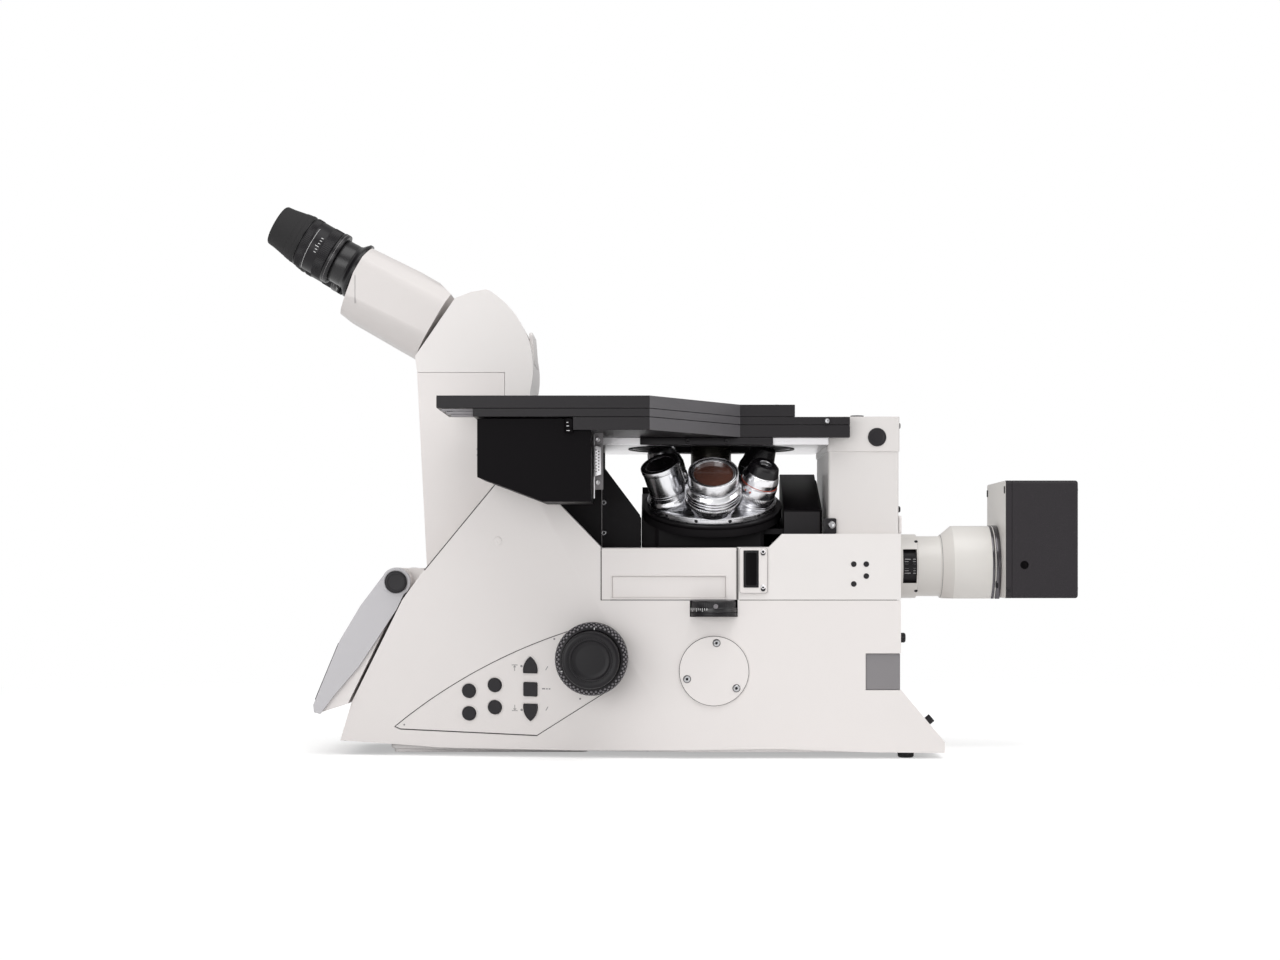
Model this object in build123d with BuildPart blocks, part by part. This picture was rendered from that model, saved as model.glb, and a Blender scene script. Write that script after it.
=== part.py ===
from build123d import *
from math import atan2, cos, degrees, pi, radians, sin, tan
import os

# Inverted microscope with a motorised stage and incident light.
# X runs from the eyepieces to the lamp, Y away from the operator's panel side, Z up.
# The origin is on the desk, under the middle of the microscope.
# All sizes are in millimetres.

os.makedirs("parts", exist_ok=True)

# Fits and gaps
running_fit = 0.05
lens_fit = 0.02
slip_gap = 0.3
cover_gap = 0.5

# Farther out than any part of the microscope, for cuts that run right through
far_out = 600.0

# Optical axis through the objective in use
optic_x = 34.0

# Desk, feet and base plate
foot_height = 5.2
foot_radius = 6.5
rear_foot_x = 188.5
front_foot_x = -196.0
front_foot_y = 22.0
base_thickness = 5.8
base_top = foot_height + base_thickness
base_front_x = -227.8
base_wide_x = 14.0
base_corner_radius = 6.0
belly_low_z = 2.2
belly_front_x, belly_end_x = base_front_x + 2.2, -68.0

# Housing, seen from the side
half_width = 105.0
skin_out, skin_in = -half_width - 5.0, 25.0 - half_width
cover_wall = 3.0
frame_wall = 8.0
nose_x = -269.2
nose_knee_x, nose_knee_z = -259.6, 42.3
slope_top_x, slope_top_z = -216.5, 126.5
neck_foot_x, neck_foot_z = -199.0, 150.0
apex_x, apex_z = -123.8, 238.8
bay_left_x = -55.8
bay_edge_z = 168.7
band_step_x = 78.0
band_top_z = 179.1
band_left_x = 52.5
rear_x = 183.0
heel_break_z = 55.0
heel_x, heel_z = 218.0, 13.5
cover_bottom_front_z = 11.6
hem_taper_x, hem_taper_z = -222.0, 9.1
hem_belly_x, hem_belly_z = -186.0, 6.8
hem_low_x, hem_low_z = -70.0, 5.8
hem_high_x, hem_high_z = 86.0, 7.9
hem_foot_x, hem_foot_z = 160.0, 5.2
cover_bottom_rear_z = 4.8
cover_top_z = 126.2

# Tapered sides of the nose: the crease runs down and back from the apex
crease_top_x, crease_top_z = -106.7, 204.5
crease_low_x, crease_low_z = -64.5, 132.9
nose_half_width = 62.0
base_front_half = nose_half_width - 0.4
belly_half_width = base_front_half - 0.6
rear_foot_y = half_width - 17.0
nose_z = 15.0

# Neck and tube head
neck_half_width = 56.0
neck_top_front_x = -207.2
neck_top_z = 311.5
neck_seam_x = -135.5
head_back_x = -115.0
tower_wall = 6.0
corner_radius = 3.0

# Bay floor between neck and rear column, and the webs that carry the stage
deck_z = 165.5
rear_deck_z = 175.5
web_y = 57.5
web_thickness = 8.0
web_front_x = -92.0
web_back_x = -25.0
web_knee_z = 195.2
web_head_x = -56.1
web_head_z = 236.7

# Rear column
column_left_x = 126.8
column_right_x = 185.4
column_half_width = 72.0
column_top_z = 274.7
column_cap_z = 246.4
column_inset = 0.8
column_wall = 8.0
column_plug_x, column_plug_z, column_plug_radius = 167.0, 258.0, 6.9

# Stage plates
stage_near_y = -190.0
stage_far_y = 190.0
stage_base_far_y, stage_middle_far_y = 150.0, 165.0
stage_left_x = -178.8
stage_corner_x = -16.6
stage_notch_x = 55.4
stage_notch_y = -88.0
stage_right_x = 99.6
stage_body_left_x = -86.0
wing_inner_y = -80.0
middle_left_x = -151.1
middle_right_x = 143.8
base_plate_left_x = -75.0
carrier_bottom_z = 251.3
carrier_top_z = 257.0
carrier_half_width = 84.0
stage_base_top_z = 266.8
plate_gap = 0.3
middle_top_z = 273.4
stage_top_z = 283.2
light_opening_radius = 66.0
light_opening_y = -14.0
insert_radius = 55.0
insert_thickness = 4.0
insert_ledge = 5.0
specimen_radius = 15.0
clip_hole_radius = 2.1
clip_hole_spacing_x = 118.0
clip_hole_spacing_y = 130.0

# Stage drive box under the left wing
drive_left_x = -148.2
drive_right_x = -61.4
drive_near_y = -186.0
drive_cover_gap = 2.0
drive_far_y = -half_width - drive_cover_gap
drive_bottom_z = 202.5
drive_chin_x = -98.3
drive_cheek_z = 221.3
drive_top_z = stage_base_top_z - 0.8
drive_wall = 4.0

# Nosepiece
turret_tilt = 20.0
turret_seat_radius = 36.0
turret_disc_radius = 53.0
turret_disc_thickness = 5.0
turret_hub_radius = 12.0
turret_centre_z = 209.5
turret_places = 6
objective_length = 40.0
objective_bore_radius = 7.0
seat_bore_radius = 10.0
head_rim_radius = 57.5
head_rim_thickness = 9.0
carriage_left_x, carriage_right_x = -24.0, 76.0
carriage_near_y, carriage_far_y = -62.0, 61.7
carriage_nose_x, carriage_nose_y = -12.7, -46.0
carriage_bottom_z = 169.1
carriage_top_z = 215.0
motor_left_x, motor_right_x = 92.2, 123.5
motor_near_y, motor_far_y = -60.0, 17.0
motor_drop = 1.0
motor_low_z = band_top_z + 0.4
lead_screw_radius = 5.0
lead_screw_y = 40.0
lead_screw_top_z = 205.0
guide_thickness = 12.0
guide_top_z = 222.0
focus_motor_size = 28.0
focus_motor_height = 40.0

# Focus knobs
focus_x, focus_z = -62.5, 80.6
coarse_radius = 28.0
coarse_inner_y = half_width + 2.0
coarse_length = 33.0
coarse_outer_y = coarse_inner_y + coarse_length
fine_radius = 22.0
fine_length = 20.0
fine_outer_y = coarse_outer_y + fine_length
fine_face_radius = 14.5
coarse_shaft_radius = 9.0
fine_shaft_radius = 6.0

# Control panel and its buttons, on the tapered near side
button_radius = 5.6
button_proud = 1.8
button_depth = 5.0
button_travel = 1.2
key_width = 11.0

# Reflector door, analyser and filter slider
door_thickness = 3.0
door_gap = 0.5
grip_left_x, grip_right_x = -47.0, 43.7
grip_low_z, grip_top_z = 128.1, 145.6
grip_depth = 1.8
wheel_radius = 18.0
wheel_y = 3.0 - half_width
wheel_low_z, wheel_top_z = 116.6, 125.8
wheel_axle_radius = 3.0
slider_plate_z = 113.6
slider_half_width = 14.0
slider_back_y = 4.0
analyser_hole_y, analyser_hole_radius = -12.0, 10.0
filter_left_x, filter_right_x = 58.1, 69.2
filter_low_z, filter_top_z = 136.9, 165.5
filter_back_y = 20.0
bezel_left_x, bezel_right_x = 54.6, 76.6
bezel_low_z = 131.8
reflector_radius = 34.5
reflector_x, reflector_y = 12.0, -9.0
reflector_bore_radius = 8.0
reflector_pin_radius = 4.0
reflector_low_z, reflector_top_z = 134.0, 156.5

# Lamp line
lamp_z = 153.5
flange_radius = 26.8
flange_right_x = 205.4
ring_left_x, ring_right_x = 193.0, 204.4
ring_window_low_z, ring_window_top_z = 139.5, 167.5
lamp_bore_radius = 20.0
tube_small_radius = 25.2
tube_cone_x = 224.7
tube_large_x = 234.8
tube_large_radius = 33.8
tube_flat_z = 126.6
tube_end_x = 273.5
lamp_plate_thickness = 5.5
lamp_right_x = 332.9
lamp_half_width = 55.0
lamp_low_z, lamp_top_z = 127.3, 223.6
lamp_wall = 3.0

# Display unit
display_pivot_x, display_pivot_z = -222.2, 140.7
display_half_width = 75.0
display_plate = 4.0
display_head_radius = 11.7
display_arm_half_width = 50.0
display_pin_radius = 5.0
display_bore = display_pin_radius + running_fit
display_cap_radius = 8.4
screen_inset = 8.0

# Binocular tube: n runs up along the eyepieces, m across them, measured from the origin
eye_tilt = 30.0
hinge_n, hinge_m = 343.9, 187.0
eye_rise = 28.0
eye_half_distance = 32.0
prism_end_n = 421.0
tube_radius = 17.2
collar_radius = 24.0
collar_thickness = 2.5
eye_flange_radius = 21.5
dioptre_radius = 21.0
dioptre_low_n, dioptre_high_n = 446.3, 472.0
cup_end_n = 498.4
cup_radius = 16.5
eye_bore_radius = 12.5
hinge_pin_radius = 4.0
knuckle_radius = 9.0
inward_relief = 9.0
outward_relief = 14.0


# Solids placed by their limits in the frame

def block(x0, x1, y0, y1, z0, z1, mode=Mode.ADD):
    """A box between two corners."""
    with Locations(((x0 + x1) / 2, (y0 + y1) / 2, (z0 + z1) / 2)):
        Box(x1 - x0, y1 - y0, z1 - z0, mode=mode)


def slab(points, y0, y1, mode=Mode.ADD):
    """A side-view outline of (x, z) points, solid from y0 to y1."""
    with BuildSketch(Plane.XZ.offset(-y0)) as outline:
        Polygon(*points, align=None)
    extrude(outline.sketch, amount=y0 - y1, mode=mode)


def plate(points, z0, z1, mode=Mode.ADD):
    """A plan outline of (x, y) points, solid from z0 to z1."""
    with BuildSketch(Plane.XY.offset(z0)) as outline:
        Polygon(*points, align=None)
    extrude(outline.sketch, amount=z1 - z0, mode=mode)


def disc(plane, radius, h0, h1, mode=Mode.ADD, at=(0, 0)):
    """A round solid standing on a plane, from height h0 to h1."""
    with BuildSketch(plane.offset(h0)) as outline:
        with Locations(at):
            Circle(radius)
    extrude(outline.sketch, amount=h1 - h0, mode=mode)


def rod_x(y, z, radius, x0, x1, mode=Mode.ADD):
    disc(Plane.YZ, radius, x0, x1, mode, at=(y, z))


def rod_y(x, z, radius, y0, y1, mode=Mode.ADD):
    disc(Plane.XZ, radius, -y0, -y1, mode, at=(x, z))


def rod_z(x, y, radius, z0, z1, mode=Mode.ADD):
    disc(Plane.XY, radius, z0, z1, mode, at=(x, y))


def finish(part, label):
    part.label = label
    export_step(part, f"parts/{label}.step")


# Housing shape that the covers and the frame share

below_desk_z = -20.0
nose_slope = (nose_knee_x - nose_x) / (nose_knee_z - cover_bottom_front_z)
housing_outline = [
    (nose_x + nose_slope * (below_desk_z - cover_bottom_front_z), below_desk_z),
    (nose_knee_x, nose_knee_z),
    (slope_top_x, slope_top_z),
    (neck_foot_x, neck_foot_z),
    (apex_x, apex_z),
    (bay_left_x, bay_edge_z),
    (band_step_x, bay_edge_z),
    (band_step_x + band_top_z - bay_edge_z, band_top_z),
    (rear_x, band_top_z),
    (rear_x, heel_break_z),
    (heel_x, heel_z),
    (heel_x, below_desk_z),
]


def taper_plane(side):
    """The flat side of the nose; side is -1 on the near side and 1 on the far side."""
    top = Vector(crease_top_x, side * half_width, crease_top_z)
    low = Vector(crease_low_x, side * half_width, crease_low_z)
    nose = Vector(nose_x, side * nose_half_width, nose_z)
    along = low - top
    normal = along.cross(nose - top).normalized()
    if normal.Y * side < 0:
        normal = normal * -1
    return Plane(origin=top, x_dir=along, z_dir=normal)


near_taper = taper_plane(-1)
far_taper = taper_plane(1)


def housing_layer(inset):
    """The whole housing as one solid, with every face moved in by the inset."""
    with BuildPart() as layer:
        with BuildSketch(Plane.XZ) as profile:
            Polygon(*housing_outline, align=None)
            if inset > 0:
                offset(amount=-inset, kind=Kind.INTERSECTION, mode=Mode.REPLACE)
        extrude(amount=half_width - inset, both=True)
        split(bisect_by=near_taper.offset(-inset), keep=Keep.BOTTOM)
        split(bisect_by=far_taper.offset(-inset), keep=Keep.BOTTOM)
    return layer.part


outer_layer = housing_layer(0)
frame_layer = housing_layer(cover_wall)
cavity_layer = housing_layer(cover_wall + frame_wall)

inner_half_width = half_width - cover_wall
cover_inner_y = neck_half_width + 2

# Line along the lower edge of the covers
cover_hem = [
    (nose_x - 40, cover_bottom_front_z),
    (nose_x, cover_bottom_front_z),
    (hem_taper_x, hem_taper_z),
    (hem_belly_x, hem_belly_z),
    (hem_low_x, hem_low_z),
    (hem_high_x, hem_high_z),
    (hem_foot_x, hem_foot_z),
    (heel_x, cover_bottom_rear_z),
    (heel_x + 40, cover_bottom_rear_z),
    (heel_x + 40, below_desk_z - 20),
    (nose_x - 40, below_desk_z - 20),
]

def on_taper(x, z, face):
    """Where the line along Y through (x, z) meets a tapered face, in that face's own axes."""
    normal, start = face.z_dir, face.origin
    y = start.Y - (normal.X * (x - start.X) + normal.Z * (z - start.Z)) / normal.Y
    spot = face.to_local_coords(Vector(x, y, z))
    return (spot.X, spot.Y)


# Control panel on the near taper: tip, arched upper edge, round end behind the knob, lower corner
panel_outline = [
    (-223.6, 23.6),
    (-152.0, 71.5),
    (-72.0, 104.6),
    (-37.6, 80.0),
    (-52.0, 53.0),
    (-107.5, 17.5),
    (-219.0, 21.6),
]
round_buttons = {
    "button_upper_left": (-162.2, 53.4),
    "button_upper_right": (-141.2, 58.2),
    "button_lower_left": (-162.2, 35.1),
    "button_lower_right": (-141.2, 40.3),
}
set_key_z = 55.0
up_key_low_z, up_key_top_z = 68.1, 81.2
down_key_low_z, down_key_top_z = 29.6, 43.1
key_x = -112.3
# Each key: lower and upper edge, and whether its tip is at the top (1), at the bottom (-1) or absent
keys = {
    "arrow_up_button": (up_key_low_z, up_key_top_z, 1),
    "set_button": (set_key_z - key_width / 2, set_key_z + key_width / 2, 0),
    "arrow_down_button": (down_key_low_z, down_key_top_z, -1),
}
near_frame_face = near_taper.offset(-cover_wall)


def panel_shape(gap):
    """The panel's outline on the frame face, made larger by a gap all round."""
    spots = [on_taper(x, z, near_frame_face) for x, z in panel_outline]
    with BuildSketch() as shape:
        with BuildLine():
            ThreePointArc(spots[0], spots[1], spots[2])
            ThreePointArc(spots[2], spots[3], spots[4])
            Polyline(*spots[4:], spots[0])
        make_face()
        if gap > 0:
            offset(amount=gap, mode=Mode.REPLACE)
    return near_frame_face * shape.sketch


# Interface panel in the near rear corner
panel_io_left_x = 154.9
panel_io_low_z, panel_io_top_z = 54.7, 84.0
io_depth = 40.0


# Base plate and feet

with BuildPart() as base_plate:
    back_half = inner_half_width - 0.2
    plate(
        [
            (base_front_x, -base_front_half),
            (base_wide_x, -back_half),
            (heel_x - 3, -back_half),
            (heel_x - 3, back_half),
            (base_wide_x, back_half),
            (base_front_x, base_front_half),
        ],
        foot_height,
        base_top,
    )
    fillet(base_plate.edges().filter_by(Axis.Z), base_corner_radius)
    with BuildSketch(Plane.XY.offset(belly_low_z)):
        with Locations(((belly_front_x + belly_end_x) / 2, 0)):
            RectangleRounded(belly_end_x - belly_front_x, 2 * belly_half_width, base_corner_radius)
    extrude(amount=foot_height - belly_low_z)
finish(base_plate.part, "base_plate")

with BuildPart() as rubber_feet:
    for foot_x, foot_y, foot_top in (
        (rear_foot_x, rear_foot_y, foot_height),
        (front_foot_x, front_foot_y, belly_low_z),
    ):
        rod_z(foot_x, -foot_y, foot_radius, 0, foot_top)
        rod_z(foot_x, foot_y, foot_radius, 0, foot_top)
    chamfer(rubber_feet.faces().filter_by(Plane.XY).group_by(Axis.Z)[0].edges(), 1.2)
finish(rubber_feet.part, "rubber_feet")

# Cast frame: hollow body, optical tower in the neck, webs and nosepiece guide

roof_z = bay_edge_z - cover_wall - frame_wall
tower_left_x = neck_top_front_x + cover_wall + 10
tower_right_x = neck_seam_x - cover_wall - 2
tower_half_width = neck_half_width - cover_wall
neck_clear_half = neck_half_width + cover_gap
panel_pocket_depth = button_depth + button_travel + 2
analyser_channel_half = slider_half_width + cover_gap
window_low_z, window_top_z = 131.0, 161.0
guide_y = carriage_far_y + slip_gap
flange_bore = 24.0
pocket_half_width = half_width - 13.0
shaft_bore = coarse_shaft_radius + running_fit

with BuildPart() as main_frame:
    add(frame_layer)
    add(cavity_layer, mode=Mode.SUBTRACT)
    block(-far_out, far_out, -far_out, far_out, -far_out, base_top, mode=Mode.SUBTRACT)
    block(-far_out, bay_left_x, -neck_clear_half, neck_clear_half, neck_foot_z, far_out, mode=Mode.SUBTRACT)
    block(
        tower_left_x,
        tower_right_x,
        -tower_half_width,
        tower_half_width,
        neck_foot_z - frame_wall,
        neck_top_z,
    )
    block(
        tower_left_x + tower_wall,
        tower_right_x - tower_wall,
        tower_wall - tower_half_width,
        tower_half_width - tower_wall,
        neck_foot_z - 2 * frame_wall,
        neck_top_z + 1,
        mode=Mode.SUBTRACT,
    )
    for side in (-1, 1):
        inner, outer = sorted((side * web_y, side * (web_y - web_thickness)))
        slab(
            [
                (web_front_x, bay_edge_z - frame_wall),
                (web_back_x, bay_edge_z - frame_wall),
                (web_back_x, web_knee_z),
                (web_head_x, web_head_z),
                (web_head_x, carrier_bottom_z),
                (web_front_x, carrier_bottom_z),
            ],
            inner,
            outer,
        )
    block(
        carriage_left_x,
        carriage_right_x,
        guide_y,
        guide_y + guide_thickness,
        deck_z - frame_wall,
        guide_top_z,
    )
    block(
        band_step_x + 9,
        column_left_x,
        -pocket_half_width,
        pocket_half_width,
        rear_deck_z,
        far_out,
        mode=Mode.SUBTRACT,
    )
    # Pin for the reflector turret, and bores for light, lead screw, focus shaft and lamp
    rod_z(reflector_x, reflector_y, reflector_pin_radius, reflector_low_z - slip_gap, roof_z)
    rod_z(optic_x, 0, seat_bore_radius + 3, roof_z - 1, far_out, mode=Mode.SUBTRACT)
    rod_z(optic_x, lead_screw_y, lead_screw_radius + 1.5, roof_z - 1, far_out, mode=Mode.SUBTRACT)
    rod_y(focus_x, focus_z, shaft_bore, -far_out, far_out, mode=Mode.SUBTRACT)
    rod_x(0, lamp_z, flange_bore, rear_x - 40, rear_x, mode=Mode.SUBTRACT)
    # Window behind the reflector door
    block(grip_left_x, grip_right_x, skin_out, skin_in, window_low_z, window_top_z, mode=Mode.SUBTRACT)
    # Notch and channel for the analyser slider and its wheel
    block(
        optic_x - wheel_radius - 2,
        optic_x + wheel_radius + 2,
        skin_out,
        wheel_y + wheel_radius + 2,
        wheel_low_z - cover_gap,
        wheel_top_z + cover_gap,
        mode=Mode.SUBTRACT,
    )
    block(
        optic_x - analyser_channel_half,
        optic_x + analyser_channel_half,
        skin_out,
        skin_in,
        slider_plate_z - cover_gap,
        wheel_low_z + cover_gap,
        mode=Mode.SUBTRACT,
    )
    # Channel for the filter slider
    block(
        filter_left_x - cover_gap,
        filter_right_x + cover_gap,
        skin_out,
        skin_in,
        filter_low_z - cover_gap,
        filter_top_z + cover_gap,
        mode=Mode.SUBTRACT,
    )
    # Corner for the interface panel
    block(
        panel_io_left_x,
        far_out,
        -far_out,
        io_depth + 0.5 - half_width,
        panel_io_low_z,
        panel_io_top_z,
        mode=Mode.SUBTRACT,
    )
    # Pockets behind the buttons
    key_places = [(key_x, (low_z + top_z) / 2) for low_z, top_z, point in keys.values()]
    for x, z in list(round_buttons.values()) + key_places:
        disc(
            near_frame_face,
            button_radius + 3.6,
            -panel_pocket_depth,
            0,
            mode=Mode.SUBTRACT,
            at=on_taper(x, z, near_frame_face),
        )
finish(main_frame.part, "main_frame")

# Side covers, rear cover and the front of the neck

cover_lip_y = inner_half_width
knob_hole_radius = coarse_shaft_radius + 1.0
port_x, port_z = 34.2, 70.0
port_radius = 27.5
port_opening_radius = 22.0
port_screw_circle = 22.4
port_screw_angles = (85.0, 196.5, 322.5)
plug_x, plug_z, plug_radius = -138.5, 173.5, 3.2


def side_cover(side):
    """One painted shell, with the top edge turned in to the neck."""
    reach = side * far_out
    with BuildPart() as cover:
        add(outer_layer)
        add(frame_layer, mode=Mode.SUBTRACT)
        slab(cover_hem, -far_out, far_out, mode=Mode.SUBTRACT)
        inner, outer = sorted((side * cover_inner_y, -reach))
        block(-far_out, far_out, inner, outer, -far_out, far_out, mode=Mode.SUBTRACT)
        inner, outer = sorted((side * cover_lip_y, 0))
        block(bay_left_x - slip_gap, far_out, inner, outer, cover_top_z, far_out, mode=Mode.SUBTRACT)
        block(rear_x - cover_wall, far_out, inner, outer, -far_out, far_out, mode=Mode.SUBTRACT)
        inner, outer = sorted((0, reach))
        block(band_left_x - slip_gap, far_out, inner, outer, cover_top_z, far_out, mode=Mode.SUBTRACT)
        rod_y(focus_x, focus_z, knob_hole_radius, inner, outer, mode=Mode.SUBTRACT)
        rod_y(port_x, port_z, port_opening_radius, inner, outer, mode=Mode.SUBTRACT)
    return cover.part


with BuildPart() as side_cover_near:
    add(side_cover(-1))
    block(bay_left_x - slip_gap, band_left_x, -far_out, 0, cover_top_z, far_out, mode=Mode.SUBTRACT)
    block(panel_io_left_x, far_out, -far_out, 0, panel_io_low_z, panel_io_top_z, mode=Mode.SUBTRACT)
    block(
        optic_x - wheel_radius - 2,
        optic_x + wheel_radius + 2,
        -far_out,
        0,
        slider_plate_z - cover_gap,
        far_out,
        mode=Mode.SUBTRACT,
    )
    rod_y(plug_x, plug_z, plug_radius, -far_out, 0, mode=Mode.SUBTRACT)
    extrude(panel_shape(slip_gap), amount=cover_wall + 1, mode=Mode.SUBTRACT)
finish(side_cover_near.part, "side_cover_near")

with BuildPart() as side_cover_far:
    add(side_cover(1))
finish(side_cover_far.part, "side_cover_far")

with BuildPart() as rear_cover:
    add(outer_layer)
    add(frame_layer, mode=Mode.SUBTRACT)
    slab(cover_hem, -far_out, far_out, mode=Mode.SUBTRACT)
    block(-far_out, rear_x - cover_wall, -far_out, far_out, -far_out, far_out, mode=Mode.SUBTRACT)
    block(-far_out, far_out, -far_out, -cover_lip_y, -far_out, far_out, mode=Mode.SUBTRACT)
    block(-far_out, far_out, cover_lip_y, far_out, -far_out, far_out, mode=Mode.SUBTRACT)
    block(-far_out, far_out, -far_out, far_out, cover_top_z, far_out, mode=Mode.SUBTRACT)
    block(
        0,
        far_out,
        -far_out,
        io_depth + 0.5 - half_width,
        panel_io_low_z,
        panel_io_top_z,
        mode=Mode.SUBTRACT,
    )
finish(rear_cover.part, "rear_cover")

neck_outline = [
    (neck_foot_x, neck_foot_z),
    (neck_top_front_x, neck_top_z),
    (neck_seam_x - slip_gap, neck_top_z),
    (neck_seam_x - slip_gap, neck_foot_z),
]

with BuildPart() as neck_housing:
    # Front slope between the side covers
    add(outer_layer)
    add(frame_layer, mode=Mode.SUBTRACT)
    slab(cover_hem, -far_out, far_out, mode=Mode.SUBTRACT)
    block(neck_foot_x + 1, far_out, -far_out, far_out, -far_out, far_out, mode=Mode.SUBTRACT)
    block(-far_out, far_out, -far_out, far_out, neck_foot_z + 1, far_out, mode=Mode.SUBTRACT)
    block(-far_out, far_out, -far_out, slip_gap - cover_inner_y, -far_out, far_out, mode=Mode.SUBTRACT)
    block(-far_out, far_out, cover_inner_y - slip_gap, far_out, -far_out, far_out, mode=Mode.SUBTRACT)
    # Upright shell around the optical tower
    slab(neck_outline, -neck_half_width, neck_half_width)
    slab(
        [
            (tower_left_x, neck_foot_z - 10),
            (tower_left_x, neck_top_z + 1),
            (neck_seam_x + 10, neck_top_z + 1),
            (neck_seam_x + 10, neck_foot_z - 10),
        ],
        cover_wall - neck_half_width,
        neck_half_width - cover_wall,
        mode=Mode.SUBTRACT,
    )
finish(neck_housing.part, "neck_housing")

# Tube head on top of the neck

n_axis = Vector(-cos(radians(eye_tilt)), 0, sin(radians(eye_tilt)))
m_axis = Vector(sin(radians(eye_tilt)), 0, cos(radians(eye_tilt)))


def tube_plane(n, y=0.0, m=hinge_m):
    """A plane across the eyepiece direction; its first axis runs to the near side."""
    place = n_axis * n + m_axis * m + Vector(0, y, 0)
    return Plane(origin=place, x_dir=(0, -1, 0), z_dir=n_axis)


def tube_spot(n, rise):
    """Side-view point (x, z) at n along the eyepieces and at a rise above the hinge pin."""
    spot = n_axis * n + m_axis * (hinge_m + rise)
    return (spot.X, spot.Z)


hinge_plane = tube_plane(hinge_n)
head_lip_x, head_lip_z = tube_spot(hinge_n - 0.5, -9.9)
head_brow_x, head_brow_z = tube_spot(hinge_n - 5.1, 47.4)
head_crown_x, head_crown_z = head_brow_x + 26.1, head_brow_z + 7.4
head_foot_z = 232.0
head_shoulder_z = 296.0
knuckle_low = 0.8
knuckle_mid = 36.2
knuckle_high = 72.0
head_wall = 5.0
head_wall_x = head_back_x - head_wall
knuckle_rim = 4.0

with BuildPart() as tube_head:
    with BuildSketch(Plane.XZ) as head_profile:
        with BuildLine():
            Polyline(
                (head_crown_x, head_crown_z),
                (head_brow_x + 12.3, head_brow_z + 4.9),
                (head_brow_x, head_brow_z),
                (head_lip_x, head_lip_z),
                (neck_top_front_x, neck_top_z + slip_gap),
                (neck_seam_x, neck_top_z + slip_gap),
                (neck_seam_x, head_foot_z),
                (head_back_x, head_foot_z),
                (head_back_x, head_shoulder_z),
            )
            ThreePointArc(
                (head_back_x, head_shoulder_z),
                (head_back_x - 3.9, head_shoulder_z + 49.0),
                (head_crown_x, head_crown_z),
            )
        make_face()
    extrude(head_profile.sketch, amount=neck_half_width, both=True)
    fillet(tube_head.edges().group_by(Axis.Z)[-1], 2 * corner_radius)
    slab(
        [
            (head_brow_x + 16.0, head_brow_z - 7.4),
            (head_lip_x + 13.0, head_lip_z),
            (head_lip_x + 13.0, neck_top_z - 1),
            (neck_seam_x + 10, neck_top_z - 1),
            (neck_seam_x + 10, head_foot_z - 1),
            (head_wall_x, head_foot_z - 1),
            (head_wall_x, head_shoulder_z + 34.0),
            (head_crown_x + 18.0, head_crown_z - 20.0),
        ],
        head_wall - neck_half_width,
        neck_half_width - head_wall,
        mode=Mode.SUBTRACT,
    )
    disc(hinge_plane, knuckle_radius + knuckle_rim, -12, -0.4)
    disc(hinge_plane, hinge_pin_radius, -1, knuckle_high - 1)
finish(tube_head.part, "tube_head")

# Mid housing behind the bay, with the lamp flange opening

band_low_z = cover_top_z + cover_gap

with BuildPart() as mid_housing:
    add(outer_layer)
    add(frame_layer, mode=Mode.SUBTRACT)
    block(-far_out, band_left_x, -far_out, far_out, -far_out, far_out, mode=Mode.SUBTRACT)
    block(-far_out, far_out, -far_out, far_out, -far_out, band_low_z, mode=Mode.SUBTRACT)
    block(0, column_left_x, -pocket_half_width, pocket_half_width, deck_z, far_out, mode=Mode.SUBTRACT)
    rod_x(0, lamp_z, flange_bore, rear_x - 10, rear_x + 10, mode=Mode.SUBTRACT)
    block(
        filter_left_x - cover_gap,
        filter_right_x + cover_gap,
        -far_out,
        0,
        filter_low_z - cover_gap,
        filter_top_z + cover_gap,
        mode=Mode.SUBTRACT,
    )
finish(mid_housing.part, "mid_housing")

with BuildPart() as rear_column:
    block(
        column_left_x,
        column_right_x,
        -column_half_width,
        column_half_width,
        column_cap_z,
        column_top_z,
    )
    fillet(rear_column.edges().filter_by(Axis.Z), corner_radius)
    with BuildSketch(Plane.XY.offset(band_top_z)) as shaft:
        with Locations(((column_left_x + column_right_x) / 2, 0)):
            RectangleRounded(
                column_right_x - column_left_x - 2 * column_inset,
                2 * (column_half_width - column_inset),
                corner_radius - column_inset,
            )
    extrude(shaft.sketch, amount=column_cap_z - band_top_z)
    block(
        column_left_x + column_wall,
        column_right_x - column_wall,
        column_wall - column_half_width,
        column_half_width - column_wall,
        band_top_z - 1,
        column_top_z - column_wall,
        mode=Mode.SUBTRACT,
    )
    rod_x(0, lamp_z, flange_radius + cover_gap, rear_x - 1, column_right_x + 1, mode=Mode.SUBTRACT)
    for side in (-1, 1):
        rod_y(
            column_plug_x,
            column_plug_z,
            column_plug_radius,
            side * (column_half_width + 1),
            side * (column_half_width - 3),
            mode=Mode.SUBTRACT,
        )
finish(rear_column.part, "rear_column")

# Control panel and its seven sprung buttons

panel_thickness = cover_wall - 0.1


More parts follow.
